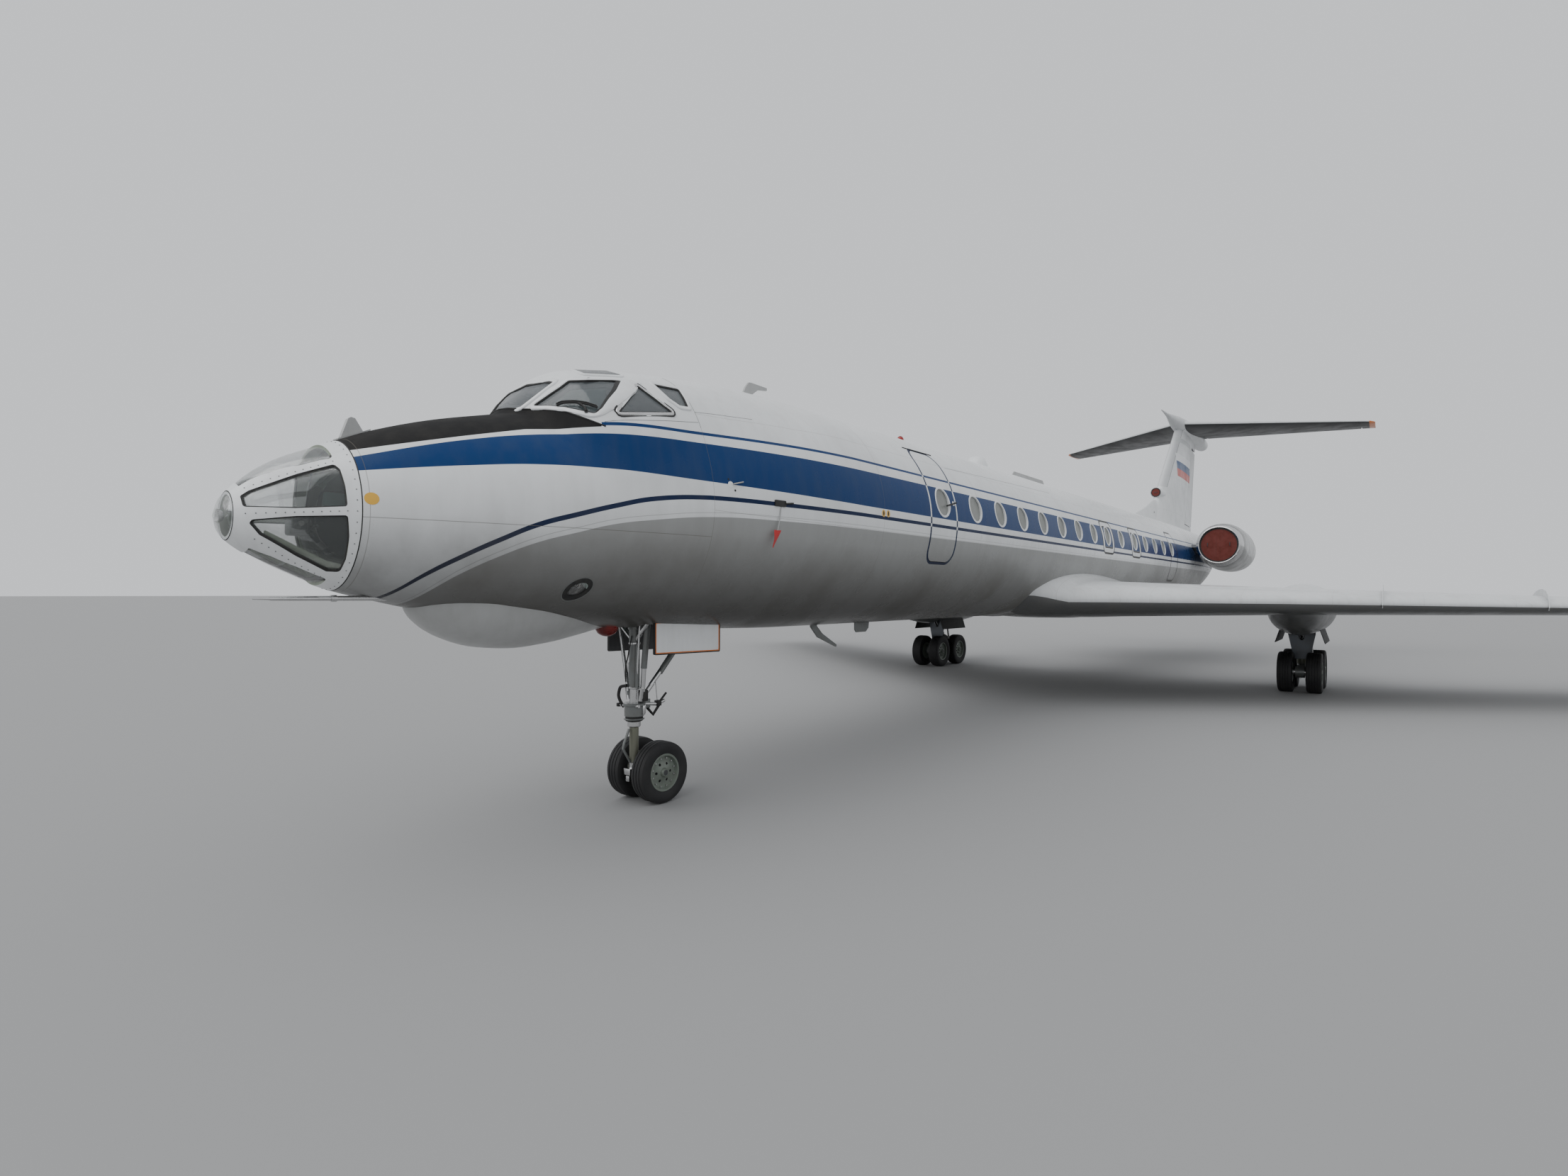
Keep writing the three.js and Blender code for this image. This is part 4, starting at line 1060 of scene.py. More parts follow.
skinReach = 1.6  # further out than the skin
door = {
    "stations": (7.735, 8.475),
    "heights": (2.71, 4.29),
    "corner": 0.17,
    "gap": 0.007,
    "thick": 0.07,
}
bay = {"half": 0.34, "stations": (3.59, 4.7), "top": 2.45}
windows = {
    "stations": (9.18, 10.12, 11.07, 12.05, 13.05, 14.05, 15.05, 16.05, 17.15, 18.35,
                 19.4, 20.4, 21.4, 22.4),
    "doorWindow": 8.1,
    "height": 3.55,
    "radius": 0.19,
    "clearance": 0.004,
    "ring": 0.03,
    "sill": 1.33,  # how far out the bottom of each recess is
    "sides": 40,
}


def windowOutline(station, radius):
    return disc(at(station), windows["height"], radius, radius, sides=windows["sides"])


def windowHole(station):
    outline = windowOutline(station, windows["radius"] + windows["clearance"])
    return paint(prism(outline, 0, windows["sill"], skinReach), 1)


def rectangle(low, high):
    return [(low[0], low[1]), (high[0], low[1]), (high[0], high[1]), (low[0], high[1])]


doorShape = rounded(rectangle((at(door["stations"][0]), door["heights"][0]),
                              (at(door["stations"][1]), door["heights"][1])), door["corner"], 8)


def buildFuselage():
    stations = spread((3.6603, 6, 0.1), (6, 24.5, 0.5), (24.5, 34.2, 0.25), (34.2, 34.5, 0.05))
    rings = [hullRing(s, hull["around"]) for s in stations]
    belly = ovalBody(hull["fairing"], 0,
                     spread((12.8, 14.5, 0.15), (14.5, 22.5, 0.5), (22.5, 24.3, 0.15)))
    skin = combine(tube(rings), belly, operation="UNION")
    both = mirrored(gather(*[windowHole(s) for s in windows["stations"]]))
    starboardDoorWindow = mirrored(windowHole(windows["doorWindow"]), keep=False)
    opening = paint(prism(grown(doorShape, door["gap"]), 0, 0.5, skinReach), 2)
    inner = hullBody(spread((7, 9.2, 0.3)), door["thick"] + 0.03)
    opening = combine(opening, inner)
    room = paint(block((-bay["half"], at(bay["stations"][0]), 1.5),
                       (bay["half"], at(bay["stations"][1]), bay["top"])), 2)
    skin = combine(skin, gather(both, starboardDoorWindow, opening, room))
    addPiece("fuselage_skin", skin, ["livery", "plainWhite", "interior"], ["fuselage"])


def buildDoor():
    panel = prism(doorShape, 0, 0.5, skinReach)
    outer = hullBody(spread((7, 9.2, 0.1)))
    panel = combine(panel, outer, operation="INTERSECT")
    inner = hullBody(spread((6.9, 9.3, 0.1)), door["thick"])
    panel = combine(panel, inner, windowHole(windows["doorWindow"]))
    addPiece("entry_door_panel", panel, ["livery", "plainWhite"], ["entry_door"])


buildFuselage()
buildDoor()
print("fuselage built")

wholeSkin = hullBody(spread((0.02, 0.2, 0.02), (0.2, 6, 0.05), (6, 24.5, 0.5), (24.5, 34.5, 0.25)))
skinTree = BVHTree.FromBMesh(wholeSkin)
wholeSkin.free()


def decal(outline, axis, far, inwards, lift=0.0012):
    # a thin skin of the outline's shape laid on the hull
    middle = sum(outline, Vector((0, 0))) / len(outline)
    rings = []
    for share, out in ((0.05, lift), (0.55, lift), (1, lift), (1, -0.003)):
        spots = onSkin(skinTree, [middle.lerp(p, share) for p in outline], axis, far, inwards)
        rings.append([place + normal * out for place, normal in spots])
    return tube(rings)


def curvedPane(outline, axis, far, inwards, depth, thick):
    # a sheet of glass that follows the hull
    middle = sum(outline, Vector((0, 0))) / len(outline)
    shares = (0.04, 0.3, 0.6, 0.85, 1)
    rings = []
    for share, under in [(k, depth) for k in shares] + [(k, depth + thick) for k in reversed(shares)]:
        spots = onSkin(skinTree, [middle.lerp(p, share) for p in outline], axis, far, inwards)
        rings.append([place - normal * under for place, normal in spots])
    return tube(rings)


def skinLine(points, radius, lift=0.0, pitch=0.08, sides=6):
    # a thin bar along the hull, through points of distance out, station and height
    line = along([(x, at(s), z) for x, s, z in points], pitch)
    return pipe(onHull(skinTree, line, lift), radius, sides)


def buildCabinWindows():
    rings, panes = [], []
    for sign in (1, -1):
        for station in (windows["doorWindow"], *windows["stations"]):
            outline = windowOutline(station, windows["radius"])
            rings.append(rim(skinTree, outline, 0, sign * 3, -sign,
                             [(0, -0.012), (0, 0.003), (0.004, 0.006), (windows["ring"] - 0.004, 0.006),
                              (windows["ring"], 0.003), (windows["ring"], -0.012)]))
            panes.append(flatPane(skinTree, grown(outline, 0.003), 0, sign * 3, -sign, 0.012, 0.012))
    addPiece("cabin_window_rings", gather(*rings), ["plainWhite"])
    addPiece("cabin_window_panes", gather(*panes), ["blind"])


buildCabinWindows()
print("cabin windows built")

# flight deck

deck = {
    "wall": 0.05,
    "frontPanes": [
        [(-0.268, 3.92), (0.268, 3.92), (0.35, 4.048), (0.404, 4.178), (0.34, 4.196), (0, 4.22),
         (-0.34, 4.196), (-0.404, 4.178), (-0.35, 4.048)],
        [(0.378, 3.922), (0.435, 3.985), (0.48, 4.045), (0.512, 4.1), (0.532, 4.186), (0.64, 4.192),
         (0.706, 4.256), (0.815, 4.118), (0.867, 4.005), (0.893, 3.9), (0.885, 3.834), (0.81, 3.856),
         (0.676, 3.892), (0.53, 3.914)],
    ],
    "sidePanes": [
        [(2.725, 3.872), (3.098, 4.222), (3.34, 3.978)],
        [(3.32, 4.294), (3.626, 4.302), (3.6, 4.18), (3.582, 4.083), (3.47, 4.078), (3.385, 4.138)],
    ],
    "roofPane": [(0.30, 2.72), (0.535, 2.67), (0.60, 3.05), (0.34, 3.06)],
    "corners": (0.02, 0.02, 0.014, 0.02, 0.03),
    # rear edge of the black panel ahead of the windscreen: station, distance out and height
    "sill": [(2.16, 0, 3.915), (2.166, 0.12, 3.912), (2.18, 0.26, 3.907), (2.262, 0.466, 3.883),
             (2.369, 0.691, 3.85), (2.408, 0.768, 3.822), (2.468, 0.836, 3.788), (2.532, 0.899, 3.755),
             (2.6, 0.955, 3.726)],
    "noseRoom": 2.05,  # the walls are dark ahead of this station
    # wiper blade and arm on each front pane: station, distance out and height
    "blade": [(2.345, 0.607, 3.905), (2.385, 0.65, 3.927), (2.44, 0.715, 3.93), (2.5, 0.785, 3.922),
              (2.575, 0.868, 3.893)],
    "arm": [(2.465, 0.745, 3.925), (2.50, 0.80, 3.875), (2.515, 0.80, 3.835)],
    "light": {"middle": (2.433, 2.29), "half": (0.128, 0.086), "tilt": 0.3, "inner": 0.64},
}


def lightOutline(share, grow=0.0):
    lamp = deck["light"]
    (s, z), (wide, high) = lamp["middle"], lamp["half"]
    return disc(at(s), z, wide * share + grow, high * share + grow, lamp["tilt"])


def deckOutlines():
    # axis, outline, ray start and its direction, for every pane of the port side and the middle
    found = []
    for outline, corner in zip(deck["frontPanes"], deck["corners"]):
        found.append((1, rounded(outline, corner), at(0.5), 1, outline[0][0] > 0))
    for outline, corner in zip(deck["sidePanes"], deck["corners"][2:]):
        found.append((0, rounded(sideOn(outline), corner), 3, -1, True))
    roof = rounded([(x, at(s)) for x, s in deck["roofPane"]], deck["corners"][4])
    found.append((2, roof, 6, -1, True))
    return found


def buildFlightDeck():
    low, high = hull["noseJoint"] + 0.0003, hull["frontJoint"]
    outer = hullBody(spread((low, 2.05, 0.1), (2.05, 3.2, 0.035), (3.2, high, 0.06)))
    cavity = hullBody(spread((low - 0.03, 2.05, 0.15), (2.05, 3.2, 0.05), (3.2, high + 0.03, 0.1)),
                      deck["wall"], 96)
    paint(cavity, 1)
    lowBay = paint(block((-1.5, at(3.43), 1.5), (1.5, at(high + 0.1), bay["top"] + 0.07)), 1)
    cavity = combine(cavity, lowBay)
    gearRoom = paint(block((-bay["half"], at(bay["stations"][0]), 1.5),
                           (bay["half"], at(4.7), bay["top"])), 1)
    lampHoles = paint(prism(lightOutline(deck["light"]["inner"]), 0, 0.6, 1.4), 1)
    shell = combine(outer, cavity, gearRoom, mirrored(lampHoles))
    spans = {0: (0.6, 1.5), 1: (at(2.0), at(3.3)), 2: (4.1, 4.7)}
    holes = {axis: [] for axis in spans}
    rims, gaskets, panes = [], [], []
    outlines = deckOutlines()
    triangle = outlines[len(deck["frontPanes"])][1]
    for axis, outline, far, inwards, both in outlines:
        hole = paint(prism(outline, axis, *spans[axis]), 1)
        bright = outline is triangle  # the side pane that opens has a bright metal frame
        wide = 0.03 if bright else 0.04
        lip = rim(skinTree, outline, axis, far, inwards,
                  [(-0.001, -0.02), (-0.001, 0.008), (0.006, 0.013), (wide - 0.01, 0.013),
                   (wide - 0.002, 0.006), (wide, -0.01)])
        paint(lip, 1 if bright else 0)
        if bright:
            line = rim(skinTree, outline, axis, far, inwards,
                       [(wide, -0.01), (wide, 0.01), (wide + 0.011, 0.01), (wide + 0.011, -0.01)])
            gaskets.append(mirrored(line))
        seal = rim(skinTree, outline, axis, far, inwards,
                   [(-0.012, -0.022), (-0.012, 0.001), (-0.004, 0.007), (0.001, 0.007), (0.001, -0.022)])
        depth = -0.012 if axis == 2 else 0.006
        pane = curvedPane(grown(outline, 0.004), axis, far, inwards, depth, 0.01)
        for store, shape in ((holes[axis], hole), (rims, lip), (gaskets, seal), (panes, pane)):
            store.append(mirrored(shape) if both else shape)
    shell = combine(shell, *[gather(*shapes) for shapes in holes.values()])
    for face in shell.faces:
        if face.material_index == 1 and face.calc_center_median().y < at(deck["noseRoom"]):
            face.material_index = 2
    addPiece("flight_deck_skin", shell, ["livery", "interior", "dark"],
             ["flight_deck_shell"])
    addPiece("flight_deck_window_frames", gather(*rims), ["plainWhite", "chrome"])
    addPiece("flight_deck_window_seals", gather(*gaskets), ["black"])
    addPiece("flight_deck_panes", gather(*panes), ["glass"], ["flight_deck_glass"])


def buildWipers():
    blade, arm, sill = ([(x, at(s), z) for s, x, z in deck[key]] for key in ("blade", "arm", "sill"))
    foot = onHull(skinTree, arm[-1:], -0.004)[0]
    blade, arm = bend(onHull(skinTree, blade, 0.016), 4), onHull(skinTree, arm, 0.02)
    shapes = [pipe(bend(onHull(skinTree, sill), 5), 0.008, 8), pipe(blade, 0.011, 8),
              pipe(blade + np.array((0, -0.006, 0.014)), 0.006, 8), pipe(bend(arm, 4), 0.011, 8),
              rod(foot, arm[-1], 0.018, sides=20)]
    addPiece("windscreen_wipers", mirrored(gather(*shapes)), ["black"])


def buildLandingLights():
    # a black ring round a cup with a bright bowl that looks ahead, behind a clear pane
    inner = deck["light"]["inner"]
    ring = rim(skinTree, lightOutline(inner), 0, 3, -1,
               [(0, -0.03), (0, 0.002), (0.006, 0.004), (0.036, 0.004), (0.04, 0.001), (0.04, -0.02)])
    edge = rim(skinTree, lightOutline(inner), 0, 3, -1,
               [(0.04, -0.01), (0.04, 0.002), (0.044, 0.004), (0.048, 0.002), (0.048, -0.01)])
    pane = flatPane(skinTree, lightOutline(inner, 0.002), 0, 3, -1, 0.006, 0.005)
    spots = onSkin(skinTree, lightOutline(inner, 0.004), 0, 3, -1)
    middle = sum((place for place, _ in spots), Vector()) / len(spots)
    outside = sum((normal for _, normal in spots), Vector()).normalized()
    cup = tube([[place - outside * 0.012 for place, _ in spots],
                [place - outside * 0.14 for place, _ in spots]])
    hollow = tube([[place.lerp(middle, 0.05) + outside * 0.05 for place, _ in spots],
                   [place.lerp(middle, 0.12) - outside * 0.13 for place, _ in spots]])
    cup = combine(cup, hollow)
    back = middle - outside * 0.085 + Vector((0, 0.02, 0))
    bowl = revolve([(0.04, 0), (0.03, 0.025), (0.01, 0.042), (-0.01, 0.05), (-0.014, 0.046),
                    (0.008, 0.037), (0.024, 0.022), (0.032, 0)], back, back + Vector((-0.35, 1, 0)), 32)
    bulb = rod(back, back + Vector((0.0, 0.024, 0)), 0.007, sides=12)
    addPiece("landing_light_rings", mirrored(gather(ring, paint(edge, 1), cup)), ["black", "gear"])
    addPiece("landing_light_bowls", mirrored(gather(bowl, paint(bulb, 1))), ["chrome", "yellow"])
    addPiece("landing_light_panes", mirrored(pane), ["lens"])


buildFlightDeck()
buildWipers()
buildLandingLights()
print("flight deck built")

# crew seats, instruments and floors

seat = {
    # place across, station, floor and height of the pan above it
    "places": {"pilot_seat_port": (0.52, 3.18, 2.86, 0.26),
               "pilot_seat_starboard": (-0.52, 3.18, 2.86, 0.26),
               "navigator_seat": (0, 1.35, 2.36, 0.23)},
    # low and high corner of each cushion from the middle of the pan, and the side its seams are on
    "cushions": {"squab": ((-0.18, -0.175, 0.036), (0.18, 0.18, 0.088), 2, 1),
                 "back": ((-0.17, 0.205, 0.1), (0.17, 0.258, 0.47), 1, -1),
                 "headrest": ((-0.11, 0.205, 0.505), (0.11, 0.258, 0.615), 1, -1)},
    # half width, front, rear, bottom and top of the pan, the back and the headrest's plate
    "plates": [(0.2, -0.19, 0.2, -0.004, 0.034), (0.19, 0.262, 0.296, 0.03, 0.5),
               (0.12, 0.262, 0.29, 0.46, 0.63)],
    "voxel": 0.0085,
    "pressure": 4.0,
    "frames": 20,
    "cap": 0.013,
    "channels": (-0.06, 0.06),
    "piping": 0.004,
}


def swell(bm):
    # voxel remesh, then cloth with air in it; no point moves further than the cap
    obj = plainObject(bm, "pad")
    grid = obj.modifiers.new("grid", "REMESH")
    grid.mode, grid.voxel_size = "VOXEL", seat["voxel"]
    start = bakedMesh(obj)
    obj.modifiers.clear()
    obj.data = start
    cloth = obj.modifiers.new("air", "CLOTH")
    cloth.settings.use_pressure = True
    cloth.settings.uniform_pressure_force = seat["pressure"]
    cloth.settings.effector_weights.gravity = 0
    for frameNumber in range(1, seat["frames"] + 1):
        scene.frame_set(frameNumber)
    result = bmesh.new()
    result.from_mesh(bakedMesh(obj))
    for v, old in zip(result.verts, start.vertices):
        move = v.co - old.co
        if move.length > seat["cap"]:
            v.co = old.co + move.normalized() * seat["cap"]
    bpy.data.objects.remove(obj)
    bmesh.ops.smooth_vert(result, verts=result.verts, factor=0.5, use_axis_x=True, use_axis_y=True,
                          use_axis_z=True)
    return result


def makeCushion(low, high, axis, side):
    pad = swell(block(low, high, 0.016, 3))
    tree = BVHTree.FromBMesh(pad)
    for v in pad.verts:
        for channel in seat["channels"]:
            near = (v.co.x - channel) / 0.008
            if side * v.normal[axis] > 0.3 and abs(near) < 3:
                v.co[axis] -= side * 0.005 * math.exp(-near * near)
    others = [k for k in range(3) if k != axis]
    corners = rounded(rectangle([low[k] for k in others], [high[k] for k in others]), 0.03, 6)
    face = high[axis] if side > 0 else low[axis]
    path = []
    for corner in corners:
        point = Vector((0, 0, 0))
        point[others[0]], point[others[1]], point[axis] = corner[0], corner[1], face
        path.append(tree.find_nearest(point)[0])
    return gather(pad, paint(pipe(path, seat["piping"], 8, closed=True), 1))


def buildSeats():
    cushions = {kind: makeCushion(*values) for kind, values in seat["cushions"].items()}
    for node, (x, s, floor, rise) in seat["places"].items():
        z = floor + rise
        shapes = [cube(x - 0.06, x + 0.06, s - 0.06, s + 0.06, floor + 0.02, z, 0, 0.012)]
        shapes += [cube(x - wide, x + wide, s + front, s + rear, z + low, z + high, 0, 0.014)
                   for wide, front, rear, low, high in seat["plates"]]
        for side in (-1, 1):
            shapes += [cube(x + side * 0.1 - 0.015, x + side * 0.1 + 0.015, s - 0.19, s + 0.24,
                            floor + 0.001, floor + 0.028, 1, 0.004),
                       cube(x + side * 0.198 - 0.012, x + side * 0.198 + 0.012, s - 0.1, s + 0.27,
                            z + 0.2, z + 0.235, 2, 0.01),
                       bar([(x + side * 0.198, s + 0.24, z + 0.02), (x + side * 0.198, s + 0.24, z + 0.21)],
                           0.012, 1)]
        addPiece(f"{node}_frame", gather(*shapes), ["gear", "steel", "black"], [node])
        for kind, shape in cushions.items():
            pad = shape.copy()
            bmesh.ops.translate(pad, verts=pad.verts, vec=(x, at(s), z))
            piece = addPiece(f"{node}_{kind}", pad, ["seatCloth", "black"], sharp=60)
    for shape in cushions.values():
        shape.free()


cabin = {
    "board": [(2.485, 2.862), (2.655, 2.862), (2.655, 3.42), (2.597, 3.72), (2.485, 3.72)],
    "hood": [(2.45, 3.7), (2.69, 3.7), (2.7, 3.712), (2.66, 3.752), (2.5, 3.757), (2.452, 3.74)],
    "half": 0.79,
    "dials": {"across": (-0.68, -0.56, -0.44, -0.32, -0.07, 0.07, 0.32, 0.44, 0.56, 0.68),
              "up": (3.49, 3.6), "radius": 0.043},
    "levers": (-0.06, -0.02, 0.02, 0.06),
    "navigatorDials": ((-0.3, 0.036), (-0.38, 0.03)),  # place across and radius
    "blind": [(0.53, 3.93), (0.6, 4.1), (0.77, 4.14), (0.86, 4.0), (0.885, 3.87), (0.7, 3.9)],
}


def dial(x, s, z, radius, ahead, ring=1, face=2):
    # a bezel with a glazed dish, looking along ahead
    middle = Vector((x, at(s), z))
    profile = [(-0.01, 0), (-0.01, radius), (0.008, radius), (0.01, radius * 0.93),
               (0.008, radius * 0.84), (0.004, radius * 0.8), (0.004, 0)]
    shape = paint(revolve(profile, middle, middle + ahead, 32), ring)
    for f in shape.faces:
        away = f.calc_center_median() - middle
        if away.dot(ahead) > 0.002 and away.length < radius * 0.78:
            f.material_index = face
    return shape


def buildInstruments():
    half = cabin["half"]
    shapes = [prism(sideOn(cabin["board"]), 0, -half, half),
              paint(prism(sideOn(cabin["hood"]), 0, -half - 0.008, half + 0.008), 3),
              cube(-0.15, 0.15, 2.66, 3.02, 2.862, 3.28, 0, 0.02),
              cube(-0.13, 0.13, 2.68, 3.0, 3.27, 3.3, 3, 0.008)]
    tilt = Vector((0, 0.3, 0.06)).normalized()
    for z in cabin["dials"]["up"]:
        s = 2.655 - (z - 3.42) * 0.193
        shapes += [dial(x, s, z, cabin["dials"]["radius"], tilt) for x in cabin["dials"]["across"]]
    for x in cabin["levers"]:
        shapes += [bar([(x, 2.84, 3.28), (x, 2.86, 3.38)], 0.006, 1),
                   cube(x - 0.014, x + 0.014, 2.845, 2.88, 3.375, 3.41, 3, 0.008)]
    addPiece("instrument_board", gather(*shapes), ["interior", "steel", "dark", "black"],
             ["instrument_panel"])
    yokes = []
    for x in (-0.52, 0.52):
        hoopPath = [(x + 0.17 * math.cos(a), 2.86 - 0.02 * math.sin(a), 3.44 - 0.12 * math.sin(a))
                    for a in np.linspace(-0.75, math.pi + 0.75, 24)]
        yokes += [bar(bend([(x, 2.9, 2.87), (x, 2.9, 3.1), (x, 2.87, 3.36)]), 0.024),
                  bar(hoopPath, 0.014, 1), cube(x - 0.06, x + 0.06, 2.84, 2.9, 3.31, 3.37, 0, 0.014)]
    addPiece("control_columns", gather(*yokes), ["dark", "black"])
    box = [cube(-0.425, -0.245, 1.165, 1.455, 2.361, 2.88, 0, 0.014),
           cube(-0.42, -0.24, 1.17, 1.45, 2.87, 2.912, 3, 0.01)]
    for z in (2.5, 2.65, 2.8):
        box += [dial(x, 1.162, z, radius, Vector((0, -1, 0))) for x, radius in cabin["navigatorDials"]]
        box += [cube(-0.246, -0.238, 1.19, 1.43, z - 0.055, z + 0.055, 2, 0.003),
                bar([(-0.235, 1.29, z), (-0.235, 1.35, z)], 0.006, 1)]
    addPiece("navigator_instruments", gather(*box), ["interior", "steel", "dark", "black"],
             ["navigator_console"])
    sight = [cube(-0.058, 0.058, 0.645, 0.875, 2.361, 2.386, 0, 0.008),
             collar(0, 0.7, 2.38, 2.42, 0.045, 1),
             bar([(0, 0.7, 2.39), (0, 0.55, 2.68)], 0.024),
             bar([(0, 0.66, 2.47), (0, 0.62, 2.545)], 0.031, 1),
             cube(-0.065, 0.065, 0.45, 0.59, 2.68, 2.85, 0, 0.02),
             cube(-0.03, 0.03, 0.47, 0.56, 2.84, 2.875, 3, 0.01)]
    for side in (-1, 1):
        sight.append(bar([(side * 0.06, 0.52, 2.77), (side * 0.078, 0.52, 2.77)], 0.02, 1))
    sight += [dial(0, 0.59, 2.79, 0.034, Vector((0, 1, 0.2)).normalized()),
              paint(rod((0, at(0.585), 2.72), (0, at(0.66), 2.75), 0.018, 0.026), 3)]
    addPiece("navigator_optical_sight", gather(*sight), ["dark", "steel", "chrome", "black"],
             ["navigator_sight"])
    addPiece("navigator_wall_pad", cube(-0.64, -0.5, 0.88, 1.04, 2.97, 3.09, 0, 0.015), ["teal"])
    blind = curvedPane(rounded(cabin["blind"], 0.03), 1, at(0.5), 1, 0.026, 0.003)
    addPiece("windscreen_blinds", mirrored(blind), ["teal"])
    for node in ("navigator_floor", "flight_deck_floor"):
        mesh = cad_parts[node].data
        mesh.materials.clear()
        mesh.materials.append(looks["trim"])


buildSeats()
buildInstruments()
print("cabin built")

# glazed nose

nose = {
    "wall": 0.026,
    "glassDepth": 0.012,
    "glassThick": 0.007,
    "tipEnd": 0.075,
    "upperPane": [(0.118, 2.845), (0.111, 2.922), (0.152, 2.961), (0.252, 3.016), (0.404, 3.096),
                  (0.62, 3.188), (0.645, 3.15), (0.655, 3.02), (0.659, 2.875), (0.375, 2.846)],
    "lowerPane": [(0.148, 2.735), (0.162, 2.76), (0.383, 2.793), (0.661, 2.812), (0.680, 2.659),
                  (0.690, 2.5), (0.684, 2.408), (0.61, 2.412), (0.416, 2.519), (0.282, 2.607),
                  (0.206, 2.657)],
    "topPane": [(0.12, 0.11), (0.266, 0.215), (0.44, 0.30), (0.63, 0.352)],  # station, half width
    "floorPane": [(0.18, 0.12), (0.30, 0.17), (0.45, 0.20), (0.64, 0.22)],
    # the inner frame along the bottom of the lower panes: station and height of its top
    "floorFrame": [(0.24, 2.69), (0.42, 2.585), (0.6, 2.49), (0.735, 2.455), (0.735, 2.0), (0.24, 2.0)],
    "floorGap": 0.21,
    "corner": 0.022,
    "bolt": (0.0055, 0.003, 0.047),  # radius, height and pitch
    "boltRing": (0.716, 44),  # station, and how many
    # lines of bolts down each side: station and height
    "boltLines": [[(0.13, 2.80), (0.30, 2.812), (0.66, 2.843)],
                  [(0.14, 2.982), (0.266, 3.052), (0.62, 3.21)],
                  [(0.19, 2.628), (0.40, 2.487), (0.60, 2.376)]],
    "lamp": [(0.046, 0), (0.034, 0.034), (0.014, 0.048), (0, 0.05), (0, 0.045), (0.012, 0.043),
             (0.03, 0.03), (0.04, 0)],
}


def noseOutlines():
    found = []
    for key in ("upperPane", "lowerPane"):
        found.append((0, rounded(sideOn(nose[key]), nose["corner"], 4), 3, -1, True))
    for key, far, inwards in (("topPane", 6, -1), ("floorPane", 0.5, 1)):
        side = [(half, at(s)) for s, half in nose[key]]
        whole = side + [(-x, y) for x, y in reversed(side)]
        found.append((2, rounded(whole, nose["corner"], 4), far, inwards, False))
    return found


def buildNose():
    joint = hull["noseJoint"] - 0.0003
    outer = hullBody(spread((nose["tipEnd"], 0.2, 0.015), (0.2, joint, 0.03)))
    inner = hullBody(spread((0.05, 0.2, 0.015), (0.2, joint + 0.03, 0.03)), nose["wall"])
    cage = combine(outer, paint(inner, 1))
    holes = []
    for axis, outline, far, inwards, both in noseOutlines():
        span = {0: (0.05, 1.2), 2: (2.9, 3.8) if inwards < 0 else (1.8, 2.62)}[axis]
        hole = paint(prism(outline, axis, *span), 1)
        holes.append(mirrored(hole) if both else hole)
    cage = combine(cage, *holes)
    addPiece("nose_cage", cage, ["plainWhite", "frameGreen"], ["nose_glazing_frame"])
    gaskets = [rim(skinTree, outline, axis, far, inwards,
                   [(-0.009, -0.024), (-0.009, -0.006), (-0.002, 0.0), (0.001, 0.0), (0.001, -0.024)])
               for axis, outline, far, inwards, both in noseOutlines()]
    gaskets = [mirrored(shape) if k < 2 else shape for k, shape in enumerate(gaskets)]
    ring = hoop(hull["noseJoint"] - 0.004, hull["noseJoint"] + 0.003, 0.0008, 0.004)
    tipRing = hoop(nose["tipEnd"] - 0.002, nose["tipEnd"] + 0.001, 0.0008, 0.003)
    addPiece("nose_seals", gather(*gaskets, ring, tipRing), ["black"])
    radius, rise, pitch = nose["bolt"]
    station, count = nose["boltRing"]
    spots = [skinTree.find_nearest(Vector(point))[:2] for point in hullRing(station, count)]
    for line in nose["boltLines"]:
        places = along(sideOn(line), pitch)
        for far, inwards in ((3, -1), (-3, 1)):
            spots += onSkin(skinTree, places, 0, far, inwards)
    addPiece("nose_bolts", studs(spots, radius, rise), ["gear"])
    bowl = revolve(nose["lamp"], (0, at(0.024), 2.79), (0, at(1), 2.79), 40)
    bulb = paint(rod((0, at(0.035), 2.79), (0, at(0.062), 2.79), 0.011, 0.006, 20), 1)
    addPiece("nose_tip_lamp", gather(bowl, bulb), ["chrome", "steel"])
    inside = hullBody(spread((0.1, 0.2, 0.02), (0.2, 0.9, 0.035)), 0.032)
    strips = combine(prism(sideOn(nose["floorFrame"]), 0, -1, 1), inside, operation="INTERSECT")
    gap = nose["floorGap"]
    strips = combine(strips, hullBody(spread((0.1, 0.2, 0.02), (0.2, 1, 0.035)), 0.056),
                     block((-gap, at(0.2), 1.9), (gap, at(0.8), 2.8)))
    addPiece("nose_inner_frames", strips, ["frameGreen"])
    depth = nose["glassDepth"]
    tip = hullBody(spread((0.0, 0.03, 0.005), (0.03, nose["tipEnd"] - 0.001, 0.01)))
    tipInner = hullBody(spread((0.012, 0.03, 0.006), (0.03, nose["tipEnd"] + 0.02, 0.01)), 0.008)
    tip = combine(tip, tipInner)
    glassOuter = hullBody(spread((0.09, joint, 0.03)), depth)
    glassInner = hullBody(spread((0.08, joint + 0.02, 0.03)), depth + nose["glassThick"])
    glass = gather(tip, combine(glassOuter, glassInner))
    addPiece("nose_panes", glass, ["noseGlass"], ["nose_glass"])


buildNose()
print("nose built")

# wings

